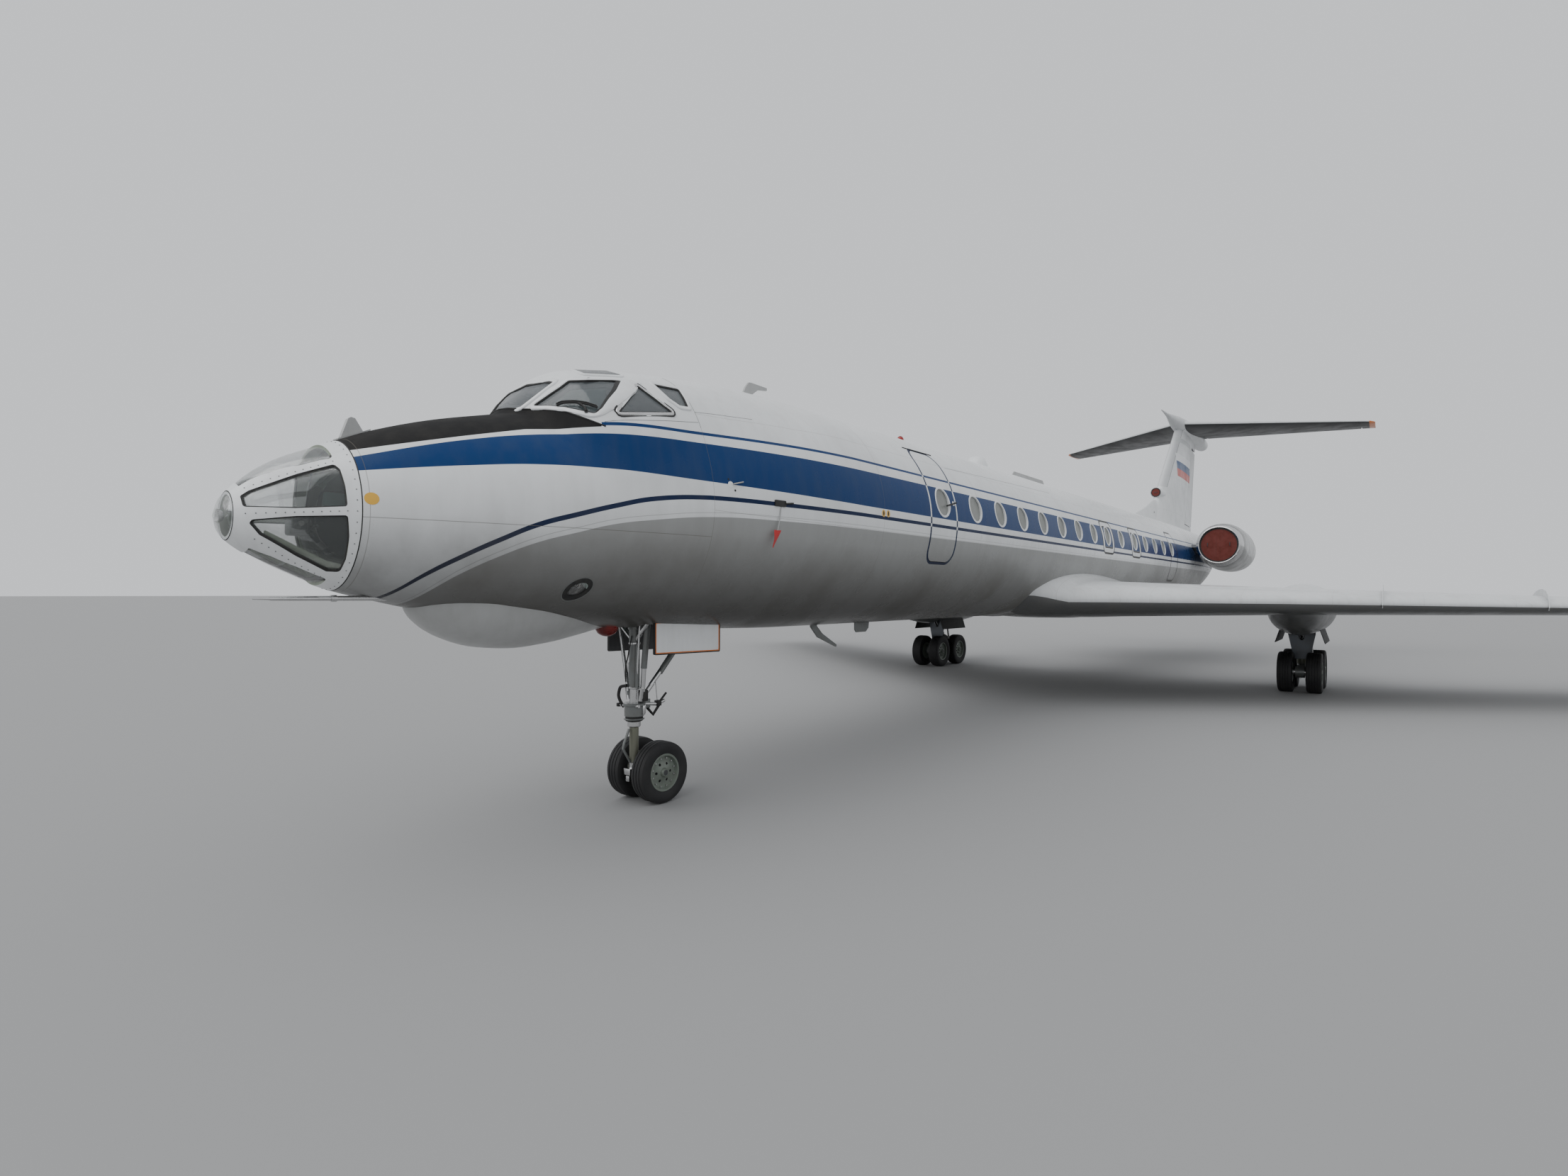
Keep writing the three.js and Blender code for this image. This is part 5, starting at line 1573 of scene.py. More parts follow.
wing = {
    # distance out, leading edge, trailing edge, height and thickness
    "rows": [(0.5, 12.15, 20.45, 2.3, 1.12), (1.1, 12.45, 20.3, 2.295, 1.1),
             (1.25, 12.7, 20.1, 2.25, 0.98), (1.4, 12.93, 19.92, 2.19, 0.86),
             (1.54, 13.083, 19.811, 2.149, 0.772), (2.0, 13.51, 19.87, 2.145, 0.73),
             (4.73, 15.645, 20.55, 2.115, 0.56), (9.0, 18.98, 22.617, 2.05, 0.38),
             (14.1, 22.97, 25.085, 1.985, 0.21), (14.25, 23.12, 25.15, 1.983, 0.195),
             (14.38, 23.27, 25.195, 1.981, 0.155), (14.46, 23.41, 25.225, 1.98, 0.1),
             (14.5, 23.5, 25.245, 1.98, 0.045)],
    "flapHinge": 0.72,
    "aileronHinge": 0.74,
    "spoilerFront": 0.6,
    "flaps": (("inner", 1.54, 3.98), ("outer", 5.48, 9.6)),
    "aileron": (9.7, 13.7),
    "spoiler": (6.1, 9.0),
    "endGap": 0.03,
    "innerGap": 0.12,
    "fences": (6.23, 8.7),
    # a fence's height at shares of the chord
    "fenceRises": ((0.0, 0.03), (0.01, 0.08), (0.04, 0.13), (0.1, 0.16), (0.2, 0.165), (0.32, 0.15),
                   (0.45, 0.12), (0.58, 0.06)),
}
foilShares = 0.5 - 0.5 * np.cos(np.linspace(0, math.pi, 34))


def foilHalf(c):
    # half the thickness of the section, as a share of the whole, at a share of the chord
    c = np.float64(c)
    shape = 0.2969 * np.sqrt(c) - 0.126 * c - 0.3516 * c**2 + 0.2843 * c**3 - 0.1036 * c**4
    return 0.02 if c > 0.999 else float(5 * shape)


def foilPoints():
    upper = [(c, foilHalf(c)) for c in foilShares]
    return upper + [(c, -v) for c, v in reversed(upper[1:])]


def rowAt(rows, out):
    table = np.array(rows)
    return [float(np.interp(out, table[:, 0], table[:, k])) for k in range(1, table.shape[1])]


def sideFoil(rows, sign):
    # a lofted blade out to one side
    rings = []
    for out, lead, trail, height, thick in rows:
        rings.append([(sign * out, at(lead + u * (trail - lead)), height + v * thick)
                      for u, v in foilPoints()])
    return tube(rings)


def hingeLine(rows, span, share, face, sign):
    line = []
    for out in span:
        lead, trail, height, thick = rowAt(rows, out)
        lift = face * thick * foilHalf(share)
        line.append(Vector((sign * out, at(lead + share * (trail - lead)), height + lift)))
    return line


def wedge(line, slope, reach=2.6, rise=0.6):
    outline = [(0, 0), (slope * rise, rise), (reach, rise), (reach, -rise), (slope * rise, -rise)]
    return tube([[end + Vector((0, u, v)) for u, v in outline] for end in line])


def recess(line, innerGap, outerGap):
    start, end = line
    run = (end - start) / abs(end.x - start.x)
    back = Vector((0, -0.0003, 0))
    return wedge([start - run * innerGap + back, end + run * outerGap + back], 0)


def spoilerBlock(sign, grow):
    rings = []
    for out in (wing["spoiler"][0] - grow, wing["spoiler"][1] + grow):
        lead, trail, height, thick = rowAt(wing["rows"], out)
        chord = trail - lead
        ring = []
        for share, shift in ((wing["spoilerFront"], -0.0003 if grow else 0),
                             (wing["flapHinge"], grow - 0.03)):
            skin = height + thick * foilHalf(share)
            place = at(lead + share * chord) + shift
            ring.append([(sign * out, place, skin - 0.04 - grow), (sign * out, place, skin + 0.16)])
        rings.append([ring[0][0], ring[0][1], ring[1][1], ring[1][0]])
    return tube(rings)


pod = {
    # station, top, bottom and half width
    "rows": [(16.9, 2.01, 1.95, 0.04), (17.0, 2.05, 1.86, 0.12), (17.4, 2.12, 1.7, 0.29),
             (18.2, 2.31, 1.44, 0.5), (19.2, 2.47, 1.32, 0.61), (20.4, 2.52, 1.3, 0.64),
             (21.6, 2.46, 1.38, 0.59), (22.8, 2.32, 1.58, 0.44), (23.8, 2.17, 1.8, 0.22),
             (24.4, 2.03, 1.95, 0.04)],
    "track": 4.73,
    "bay": ((19.15, 20.9), 0.33, 1.95),
}


def podBody(sign, inset=0.0, sides=72):
    return ovalBody(pod["rows"], sign * pod["track"],
                    spread((16.9, 17.4, 0.05), (17.4, 23.8, 0.16), (23.8, 24.4, 0.06)), inset, sides)


def buildWing(side, sign):
    whole = sideFoil(wing["rows"], sign)
    fixed = whole.copy()
    cutters = []
    for name, start, end in wing["flaps"]:
        line = hingeLine(wing["rows"], (start, end), wing["flapHinge"], -1, sign)
        flap = combine(whole.copy(), podBody(sign, -wing["endGap"], 36))
        flap = combine(flap, wedge(line, 0.02), operation="INTERSECT")
        addPiece(f"flap_{name}_skin_{side}", paintShadedUnderside(flap, 1), ["wing", "wingUnderShade"],
                 [f"flap_{name}_{side}"], body=f"flap_{name}_{side}")
        cutters.append(recess(line, wing["innerGap"], wing["endGap"]))
    line = hingeLine(wing["rows"], wing["aileron"], wing["aileronHinge"], 0, sign)
    aileron = combine(whole.copy(), wedge(line, 0.5), operation="INTERSECT")
    addPiece(f"aileron_skin_{side}", paintShadedUnderside(aileron, 1), ["wing", "wingUnderShade"],
             [f"aileron_{side}"], body=f"aileron_{side}")
    cutters.append(recess(line, wing["endGap"], wing["endGap"]))
    spoiler = combine(whole.copy(), spoilerBlock(sign, 0), operation="INTERSECT")
    addPiece(f"spoiler_skin_{side}", spoiler, ["wing"], [f"spoiler_{side}"],
             body=f"spoiler_{side}")
    cutters.append(spoilerBlock(sign, 0.018))
    whole.free()
    for cutter in cutters:
        fixed = combine(fixed, paint(cutter, 1))
    addPiece(f"wing_skin_{side}", paintShadedUnderside(fixed, 2), ["wing", "dark", "wingUnderShade"],
             [f"wing_{side}"])
    plates = []
    for out in wing["fences"]:
        lead, trail, height, thick = rowAt(wing["rows"], out)
        chord = trail - lead
        low = [(at(lead + u * chord), height + thick * foilHalf(u) - 0.02)
               for u, _ in wing["fenceRises"]]
        high = [(y - 0.02, z + rise) for (y, z), (_, rise) in
                zip(reversed(low), reversed(wing["fenceRises"]))]
        below = [(at(lead) - 0.045, height - 0.03), (at(lead) + 0.03, height - 0.09)]
        plates.append(prism([*low, *high, *below], 0, sign * out - 0.006, sign * out + 0.006))
    addPiece(f"wing_fences_{side}", gather(*plates), ["wing"])
    tip = bend([(sign * out, at(lead + 0.012), z) for out, lead, _, z, _ in wing["rows"][-5:-1]], 4)
    addPiece(f"wing_tip_light_{side}", pipe(tip, 0.02, 12), ["redLens" if sign > 0 else "greenLens"])
    x = sign * pod["track"]
    (start, end), half, top = pod["bay"]
    room = paint(block((x - half, at(start), 0.9), (x + half, at(end), top)), 1)
    addPiece(f"gear_pod_skin_{side}", paintShadedUnderside(combine(podBody(sign), room), 2, -0.1),
             ["wing", "interior", "wingUnderShade"], [f"gear_pod_{side}"])


for side, sign in bothSides:
    buildWing(side, sign)
print("wings built")

# fin and tailplane

fin = {
    # height, leading edge, trailing edge and thickness
    "rows": [(4.3, 25.45, 32.56, 0.56), (5.2, 26.43, 32.79, 0.52), (6.9, 28.29, 33.2, 0.42),
             (8.6, 30.15, 33.62, 0.33)],
    # station, top and half width of the fillet ahead of it
    "dorsal": [(23.8, 4.74, 0.02), (25.3, 5.12, 0.11), (26.6, 5.5, 0.17), (27.9, 5.62, 0.19)],
    "intake": [(0.02, 0), (0.02, 0.135), (0, 0.15), (-0.05, 0.165), (-0.02, 0.175), (0.06, 0.18),
               (0.5, 0.19), (1.2, 0.16), (1.8, 0.12), (1.8, 0)],
    "intakePlace": (26.9, 5.78),
    "plugRadius": 0.132,
    "rudder": (4.96, 8.06),
    "rudderHinge": 0.7,
}
tail = {
    "rows": [(0.0, 30.05, 33.85, 8.75, 0.4), (0.3, 30.37, 34.01, 8.763, 0.38),
             (5.6, 35.22, 36.89, 8.985, 0.17), (5.75, 35.4, 36.99, 8.992, 0.15),
             (5.85, 35.56, 37.06, 8.997, 0.1), (5.898, 35.68, 37.1, 9.0, 0.05)],
    "hinge": 0.7,
    "elevator": (0.42, 5.45),
    "tipFrom": 5.72,
    # station, radius, height and top of the bullet fairing
    "bullet": [(27.65, 0.012, 8.82, 8.832), (28.7, 0.07, 8.8, 8.885), (29.4, 0.15, 8.775, 8.965),
               (30.3, 0.24, 8.755, 9.05), (31.5, 0.29, 8.75, 9.11), (33.2, 0.31, 8.73, 9.08),
               (34.3, 0.29, 8.69, 8.96), (35.1, 0.23, 8.67, 8.85), (35.36, 0.15, 8.67, 8.8),
               (35.42, 0.08, 8.67, 8.74)],
}


def finWedge(low, high, slope, forward):
    outline = [(0, 0), (slope * 0.4, 0.4), (3.5, 0.4), (3.5, -0.4), (slope * 0.4, -0.4)]
    rings = []
    for height in (low, high):
        lead, trail, _ = rowAt(fin["rows"], height)
        hinge = at(lead + fin["rudderHinge"] * (trail - lead)) - forward
        rings.append([(v, hinge + u, height) for u, v in outline])
    return tube(rings)


def buildFin():
    rings = [[(v * thick, at(lead + u * (trail - lead)), height) for u, v in foilPoints()]
             for height, lead, trail, thick in fin["rows"]]
    blade = tube(rings)
    rudder = combine(blade.copy(), finWedge(*fin["rudder"], 0.55, 0), operation="INTERSECT")
    addPiece("rudder_skin", rudder, ["tailPaint"], ["rudder"], body="rudder")
    low, high = fin["rudder"]
    blade = combine(blade, paint(finWedge(low - 0.03, high + 0.09, 0, 0.0003), 1))
    turn = turnsOf(48)
    fillet = []
    for s in spread((23.8, 27.9, 0.2)):
        top, half = columnsAt(fin["dorsal"], s)
        fillet.append([(math.sin(a) * half, at(s), 4.3 + max(math.cos(a), -0.3) * (top - 4.3))
                       for a in turn])
    s, z = fin["intakePlace"]
    pipeShape = revolve(fin["intake"], (0, at(s), z), (0, at(s) + 1, z), 48)
    addPiece("fin_skin", gather(blade, tube(fillet), pipeShape), ["tailPaint", "dark"],
             ["fin"])
    plug = revolve([(0.015, 0), (0.015, fin["plugRadius"]), (-0.035, fin["plugRadius"]),
                    (-0.045, fin["plugRadius"] - 0.012), (-0.045, 0)],
                   (0, at(s), z), (0, at(s) + 1, z), 40)
    handle = pipe([(-0.05, at(s) - 0.04, z), (-0.05, at(s) - 0.085, z), (0.05, at(s) - 0.085, z),
                   (0.05, at(s) - 0.04, z)], 0.008)
    edge = revolve([(0.03, 0.131), (-0.045, 0.131), (-0.052, 0.142), (-0.03, 0.15), (0.03, 0.146)],
                   (0, at(s), z), (0, at(s) + 1, z), 48)
    addPiece("fin_intake_cover", gather(plug, paint(handle, 1), paint(edge, 1)), ["cover", "dark"],
             ["fin_intake_plug"])


def buildTail():
    rows = [(-out, *rest) for out, *rest in reversed(tail["rows"][1:])] + tail["rows"]
    whole = sideFoil(rows, 1)
    fixed = whole.copy()
    for side, sign in bothSides:
        line = hingeLine(tail["rows"], tail["elevator"], tail["hinge"], 0, sign)
        part = combine(whole.copy(), wedge(line, 0.62, 2.2), operation="INTERSECT")
        addPiece(f"elevator_skin_{side}", paintShadedUnderside(part, 1), ["wing", "tailUnderShade"],
                 [f"elevator_{side}"], body=f"elevator_{side}")
        fixed = combine(fixed, paint(recess(line, 0.03, 0.03), 1))
    whole.free()
    for side in (-1, 1):  # the tips have a colour of their own
        bmesh.ops.bisect_plane(fixed, geom=fixed.verts[:] + fixed.edges[:] + fixed.faces[:],
                               plane_co=(side * tail["tipFrom"], 0, 0), plane_no=(1, 0, 0))
    for face in fixed.faces:
        if abs(face.calc_center_median().x) > tail["tipFrom"]:
            face.material_index = 3
    addPiece("tailplane_skin", paintShadedUnderside(fixed, 2), ["wing", "dark", "tailUnderShade", "orange"],
             ["tailplane"])
    rings = []
    for s in spread((27.65, 29, 0.15), (29, 34.3, 0.22), (34.3, 35.42, 0.04)):
        radius, axis, top = columnsAt(tail["bullet"], s)
        rings.append(oval(0, s, axis, radius, top - axis, radius, 56))
    addPiece("tail_bullet_skin", tube(rings), ["tailPaint"], ["tail_bullet"])


buildFin()
buildTail()
print("tail built")

# engines

engine = {
    "offset": 2.25,
    "height": 3.76,
    "lip": 24.7,
    "wall": [(0.04, 0.52), (0.008, 0.532), (0, 0.548), (0.008, 0.568), (0.03, 0.59), (0.1, 0.617),
             (0.22, 0.65), (0.45, 0.682), (0.8, 0.715), (1.2, 0.742), (1.7, 0.76), (2.5, 0.762),
             (3.3, 0.755), (4.0, 0.73), (4.7, 0.69), (5.3, 0.622), (5.7, 0.56), (6.1, 0.5),
             (6.1, 0.47), (5.4, 0.54), (4.9, 0.5603), (1.1, 0.5603), (0.5, 0.52), (0.04, 0.52)],
    "lipEnd": 0.16,
    # inside the lip and in the duct the wall is painted dark as shade
    "throat": 0.53,  # the lip is bright outside this radius
    "duct": 0.565,  # and the duct behind it dark inside this one
    "exhaustStart": 5.3,
    "cover": [(0.11, 0), (0.11, 0.5193), (0.07, 0.5193), (0.06, 0.51), (0.06, 0)],
    # a black ring at the edge of the cover: painted shadow inside the lip
    "shadowRing": [(0.052, 0.488), (0.052, 0.5192), (0.08, 0.5192), (0.08, 0.488), (0.052, 0.488)],
    "coverHandles": ((-0.3, 0.02), (0.3, 0.02)),
    # the body behind the lip is narrower across and leans towards the fuselage
    "leanFrom": 0.3,
    "narrow": 0.1,
    "lean": 0.045,
    "core": [(1.15, 0), (1.15, 0.53), (4.85, 0.53), (4.95, 0.49), (5.05, 0.49), (5.05, 0.2),
             (5.3, 0.185), (5.6, 0.1), (5.75, 0.02), (5.76, 0)],
    "vanes": 26,
    "vane": ((-0.004, 5.02, 0.18), (0.004, 5.12, 0.495)),
    "vaneMiddle": 5.07,
    "vaneTurn": 0.5,
    "pylon": [(1.0, 25.5, 30.3, 3.76, 0.33), (1.9, 25.7, 30.1, 3.76, 0.3)],
}


def leanBody(bm, sign):
    x = sign * engine["offset"]
    for v in bm.verts:
        back = max(0, v.co.y - at(engine["lip"]) - engine["leanFrom"])
        wide = 1 - engine["narrow"] * min(1, back / 1.4)
        v.co.x = x + (v.co.x - x) * wide - sign * engine["lean"] * back
    return bm


def buildEngine(side, sign):
    x, z, lip = sign * engine["offset"], engine["height"], at(engine["lip"])
    start, end = (x, lip, z), (x, lip + 1, z)
    shell = revolve(engine["wall"], start, end, 96)
    # the inside of the lip and of the duct take the dark paint, as painted shade
    for face in shell.faces:
        place = face.calc_center_median()
        behind = place.y - lip
        outer = math.hypot(place.x - x, place.z - z)
        if behind < engine["lipEnd"]:
            face.material_index = 1 if outer > engine["throat"] else 2
        elif behind > engine["exhaustStart"]:
            face.material_index = 3
        elif outer < engine["duct"]:
            face.material_index = 2
    core = revolve(engine["core"], start, end, 64)
    blades = []
    for k in range(engine["vanes"]):
        turn = Matrix.Rotation(2 * math.pi * k / engine["vanes"], 4, "Y")
        vane = block(*engine["vane"])
        lean = Matrix.Rotation(engine["vaneTurn"], 3, "Z")
        bmesh.ops.rotate(vane, verts=vane.verts, matrix=lean, cent=(0, engine["vaneMiddle"], 0))
        bmesh.ops.transform(vane, matrix=Matrix.Translation((x, lip, z)) @ turn, verts=vane.verts)
        blades.append(paint(vane, 1))
    addPiece(f"engine_core_{side}", leanBody(gather(core, *blades), sign), ["steel", "dark"],
             [f"engine_{side}"])
    addPiece(f"nacelle_skin_{side}", leanBody(shell, sign), ["nacelle", "chrome", "dark", "steel"],
             [f"nacelle_{side}"])
    plate = revolve(engine["cover"], start, end, 72)
    # the black ring round the cover is painted shadow
    shadowRing = paint(revolve(engine["shadowRing"], start, end, 72), 2)
    handles = []
    for across, up in engine["coverHandles"]:
        a = [(x + across, lip + 0.062, z + up - 0.05), (x + across, lip + 0.02, z + up - 0.045),
             (x + across, lip + 0.02, z + up + 0.045), (x + across, lip + 0.062, z + up + 0.05)]
        handles.append(paint(pipe(bend(a, 4), 0.009, 12), 1))
    addPiece(f"intake_cover_plate_{side}", gather(plate, shadowRing, *handles), ["cover", "dark", "black"],
             [f"intake_cover_{side}"])
    addPiece(f"pylon_skin_{side}", sideFoil(engine["pylon"], sign), ["pylon"],
             [f"pylon_{side}"])


for side, sign in bothSides:
    buildEngine(side, sign)
print("engines built")

# wheels and landing gear

noseTyre = {"radius": 0.3295, "width": 0.2, "offset": 0.2, "rim": 0.196, "half": 0.298, "bolts": 6,
            "station": 3.92, "axleHeight": 0.3299, "grooves": (-0.045, 0, 0.045)}
mainTyre = {"radius": 0.4627, "width": 0.3, "offset": 0.275, "rim": 0.262, "half": 0.423, "bolts": 9,
            "axleHeight": 0.4632, "grooves": (-0.075, -0.025, 0.025, 0.075)}
tyreGroove = ((0.005, 0.0005), (0.0035, 0.008), (-0.0035, 0.008), (-0.005, 0.0005))
gear = {
    "legStation": 3.73,
    "mainStation": 19.98,
    "axleSpread": 1.16,
    "track": 4.73,
    # the plate ahead of the main leg: distance from the leg and height
    "fairing": [(-0.155, 0.74), (0.155, 0.74), (0.27, 1.33), (0.27, 1.42), (-0.27, 1.42), (-0.27, 1.33)],
    # the doors beside it: distance and height of the top and bottom, thickness and stations
    "mainDoor": {"top": (0.36, 1.5), "bottom": (0.47, 1.14), "thick": 0.014, "stations": (19.25, 20.8)},
}


def tyreShape(tyre, x, place, height):
    half, radius, bead = tyre["width"] / 2, tyre["radius"], tyre["rim"]
    deep = radius - bead
    wall = [(0.80, bead - 0.012), (0.84, bead + 0.004), (0.9, bead + 0.02), (0.985, bead + deep * 0.42),
            (1.0, bead + deep * 0.58), (0.97, radius - deep * 0.2), (0.88, radius - deep * 0.06),
            (0.72, radius - 0.004)]
    outer = [(half * a, r) for a, r in wall]
    tread = []
    for groove in reversed(tyre["grooves"]):
        for shift, depth in tyreGroove:
            tread.append((groove + shift, radius - depth))
    profile = outer + tread + [(-a, r) for a, r in reversed(outer)]
    return revolve(profile + [profile[0]], (x, place, height), (x + 1, place, height), 80)


def roundHub(tyre, count, share, shift=0.0):
    # offsets along and up of places evenly round the hub
    out = tyre["rim"] * share
    turns = [2 * math.pi * (k + shift) / count for k in range(count)]
    return [(math.cos(turn) * out, math.sin(turn) * out) for turn in turns]


def hubShape(tyre, x, place, height, sign):
    # the dished disc with its flange, seen from outside
    half, bead = tyre["width"] / 2, tyre["rim"]
    reach = tyre["half"] - tyre["offset"]
    profile = [(half * 0.8, bead - 0.004), (half * 0.86, bead + 0.006), (half * 0.9, bead + 0.002),
               (half * 0.88, bead - 0.016), (half * 0.55, bead - 0.03), (half * 0.5, bead * 0.62),
               (half * 0.62, bead * 0.42), (half * 0.72, bead * 0.26), (reach - 0.012, bead * 0.24),
               (reach, bead * 0.18), (reach, 0)]
    back = [(-half * 0.9, 0), (-half * 0.9, bead * 0.8), (-half * 0.8, bead - 0.004)]

    def stub(y, z, low, high, radius, sides, index):
        ends = [(x + sign * out, place + y, height + z) for out in (low, high)]
        return paint(rod(*ends, radius, sides=sides), index)

    plate = revolve(back + profile, (x, place, height), (x + sign, place, height), 64)
    holes = [stub(y, z, half * 0.3, half, bead * 0.075, 20, 2)
             for y, z in roundHub(tyre, tyre["bolts"], 0.5)]
    plate = combine(paint(plate, 1), gather(*holes))
    nuts = [stub(y, z, half * 0.5, half * 0.5 + 0.016, 0.009, 6, 3)
            for y, z in roundHub(tyre, 12, 0.78, 0.5)]
    return gather(plate, *nuts, stub(0, 0, reach, reach + 0.001, bead * 0.15, 24, 2))


def wheelPair(name, tyre, x, station, body):
    place, height = at(station), tyre["axleHeight"]
    shapes = []
    for sign in (1, -1):
        centre = x + sign * tyre["offset"]
        shapes += [tyreShape(tyre, centre, place, height), hubShape(tyre, centre, place, height, sign)]
    axle = rod((x - tyre["offset"], place, height), (x + tyre["offset"], place, height),
               tyre["rim"] * 0.29, sides=40)
    shapes.append(paint(axle, 3))
    addPiece(name, gather(*shapes), ["rubber", "hub", "dark", "chrome"], [body], body=body)


wheelPair("nose_wheel_pair", noseTyre, 0, noseTyre["station"], "nose_wheels")
for side, sign in bothSides:
    for place, shift in (("front", -0.5), ("rear", 0.5)):
        wheelPair(f"main_wheel_pair_{place}_{side}", mainTyre, sign * gear["track"],
                  gear["mainStation"] + shift * gear["axleSpread"], f"main_wheels_{place}_{side}")


# paths go across, aft of the leg's axis and up, and one of four or more points is bent smoothly
noseLeg = {
    # bottom, top, radius and paint
    "collars": [(1.24, 2.449, 0.058, 0), (1.06, 1.24, 0.05, 2), (1.225, 1.25, 0.066, 2),
                (1.86, 1.9, 0.072, 0), (1.7, 1.73, 0.064, 2), (0.93, 1.06, 0.105, 0),
                (1.045, 1.075, 0.122, 0), (0.88, 0.93, 0.094, 3), (0.895, 0.912, 0.112, 0),
                (0.82, 0.88, 0.072, 2)],
    # path, radius and paint, on both sides
    "twins": [([(0, 0, 1.72), (0.2, -0.02, 1.9), (0.32, -0.04, 2.02)], 0.022, 2),
              ([(0.1, 0.02, 1.13), (0.12, 0.02, 1.5)], 0.013, 2),
              ([(0.1, 0, 1.1), (0.13, 0, 1.24)], 0.02, 2)],
    "bars": [([(0.12, 0.03, 1.45), (0.22, 0.03, 2.3)], 0.033, 0),
             ([(0.1, 0.03, 1.2), (0.125, 0.03, 1.5)], 0.026, 2),
             ([(-0.09, 0, 1.15), (-0.245, 0, 1.87), (-0.31, 0, 2.2)], 0.02, 0),
             ([(-0.06, -0.04, 1.2), (-0.2, -0.04, 1.87), (-0.25, -0.04, 2.1)], 0.009, 2),
             ([(0.07, -0.03, 1.24), (0.145, -0.03, 2.2)], 0.011, 2),
             ([(0.075, -0.03, 1.24), (0.08, -0.03, 1.7)], 0.016, 0),
             ([(-0.05, -0.06, 1.26), (-0.13, -0.08, 1.24), (-0.165, -0.08, 1.15), (-0.14, -0.06, 1.06),
               (-0.12, -0.04, 1.02)], 0.017, 3),
             ([(0.04, -0.07, 1.8), (0.02, -0.1, 1.6), (-0.05, -0.08, 1.45), (-0.07, -0.06, 1.3)],
              0.007, 3),
             ([(-0.2, -0.05, 1.04), (0.14, -0.05, 1.05)], 0.016, 2),
             ([(0.02, 0.12, 1.05), (0.03, 0.3, 1.03), (0.03, 0.4, 1.06)], 0.02, 2),
             ([(0.03, 0.32, 1.04), (0.03, 0.43, 1.14)], 0.012, 3),
             ([(0.03, 0.16, 1.0), (0.03, 0.24, 0.92), (0.03, 0.33, 1.02)], 0.016, 3),
             ([(0.03, 0.27, 1.3), (0.03, 0.3, 1.06)], 0.005, 2)],
    # across, aft and up, each from and to, and paint
    "blocks": [(-0.21, -0.17, -0.075, -0.025, 1.02, 1.06, 3), (-0.045, 0.045, 0.05, 0.16, 1.08, 1.2, 3),
               (-0.035, 0.035, 0.13, 0.2, 1.0, 1.1, 0), (0.0, 0.06, 0.28, 0.34, 1.01, 1.07, 3)],
    "teeth": {"turns": (0.4, 2.7, 4), "radius": 0.112, "heights": (0.95, 1.05)},
}

# each bar's ends, aft of the leg's axis and up, its radius and paint
noseStrut = {
    "bars": [(((0.1, 1.11), (0.25, 1.26)), 0.03, 1), (((0.22, 1.24), (0.55, 1.57)), 0.029, 1),
             (((0.36, 1.37), (0.93, 1.98)), 0.034, 0)],
    "lug": {"half": 0.035, "aft": (0.07, 0.14), "heights": (1.07, 1.15)},
}


def buildNoseGear():
    s = gear["legStation"]
    leg = [collar(0, s, *row) for row in noseLeg["collars"]]
    paths = [(sign, *row) for sign in (1, -1) for row in noseLeg["twins"]]
    paths += [(1, *row) for row in noseLeg["bars"]]
    for sign, points, radius, index in paths:
        path = [(sign * x, s + back, z) for x, back, z in points]
        leg.append(bar(bend(path) if len(path) > 3 else path, radius, index))
    leg += [cube(x0, x1, s + front, s + rear, *rest) for x0, x1, front, rear, *rest in noseLeg["blocks"]]
    teeth = noseLeg["teeth"]
    for sign in (1, -1):
        for turn in np.linspace(*teeth["turns"]):
            x, y = sign * math.cos(turn) * teeth["radius"], math.sin(turn) * teeth["radius"]
            leg.append(cube(x - 0.014, x + 0.014, s + y - 0.02, s + y + 0.012, *teeth["heights"], 2, 0.004))
    addPiece("nose_leg_assembly", gather(*leg), ["gear", "olive", "chrome", "black"],
             ["nose_leg"])
    strut = [bar([(0, s + back, z) for back, z in ends], radius, index)
             for ends, radius, index in noseStrut["bars"]]
    lug = noseStrut["lug"]
    (near, far), half = lug["aft"], lug["half"]
    strut.append(cube(-half, half, s + near, s + far, *lug["heights"], 0))
    addPiece("nose_drag_strut_assembly", gather(*strut), ["gear", "chrome"],
             ["nose_drag_strut"])
    a, z = noseTyre["station"], noseTyre["axleHeight"]
    fork = [collar(0, s, 0.4, 0.819, 0.05, 1), collar(0, s, 0.36, 0.44, 0.058, 2),
            cube(-0.045, 0.045, s - 0.05, s + 0.05, z - 0.06, 0.42, 1, 0.012),
            cube(-0.04, 0.04, s - 0.04, a + 0.06, z - 0.07, z + 0.07, 1, 0.02),
            paint(rod((-0.062, at(a), z), (0.062, at(a), z), 0.085, sides=40), 0),
            cube(-0.055, 0.055, s - 0.1, s - 0.04, z - 0.02, z + 0.05, 2),
            cube(-0.03, 0.03, s - 0.09, s - 0.05, z - 0.09, z - 0.03, 2),
            bar([(0, s - 0.05, 0.44), (0, s - 0.15, 0.6), (0, s - 0.13, 0.66)], 0.014, 0),
            bar([(0, s - 0.07, 0.8), (0, s - 0.14, 0.64)], 0.014, 0)]
    addPiece("nose_fork_assembly", gather(*fork), ["gear", "olive", "chrome"],
             ["nose_fork"], body="nose_fork")


buildNoseGear()

gearDoor = {"x": (0.362, 0.388), "stations": (3.674, 4.65), "heights": (1.592, 1.96), "drop": 0.018,
            "corner": 0.02, "line": 0.006, "insets": (0.004, 0.017)}


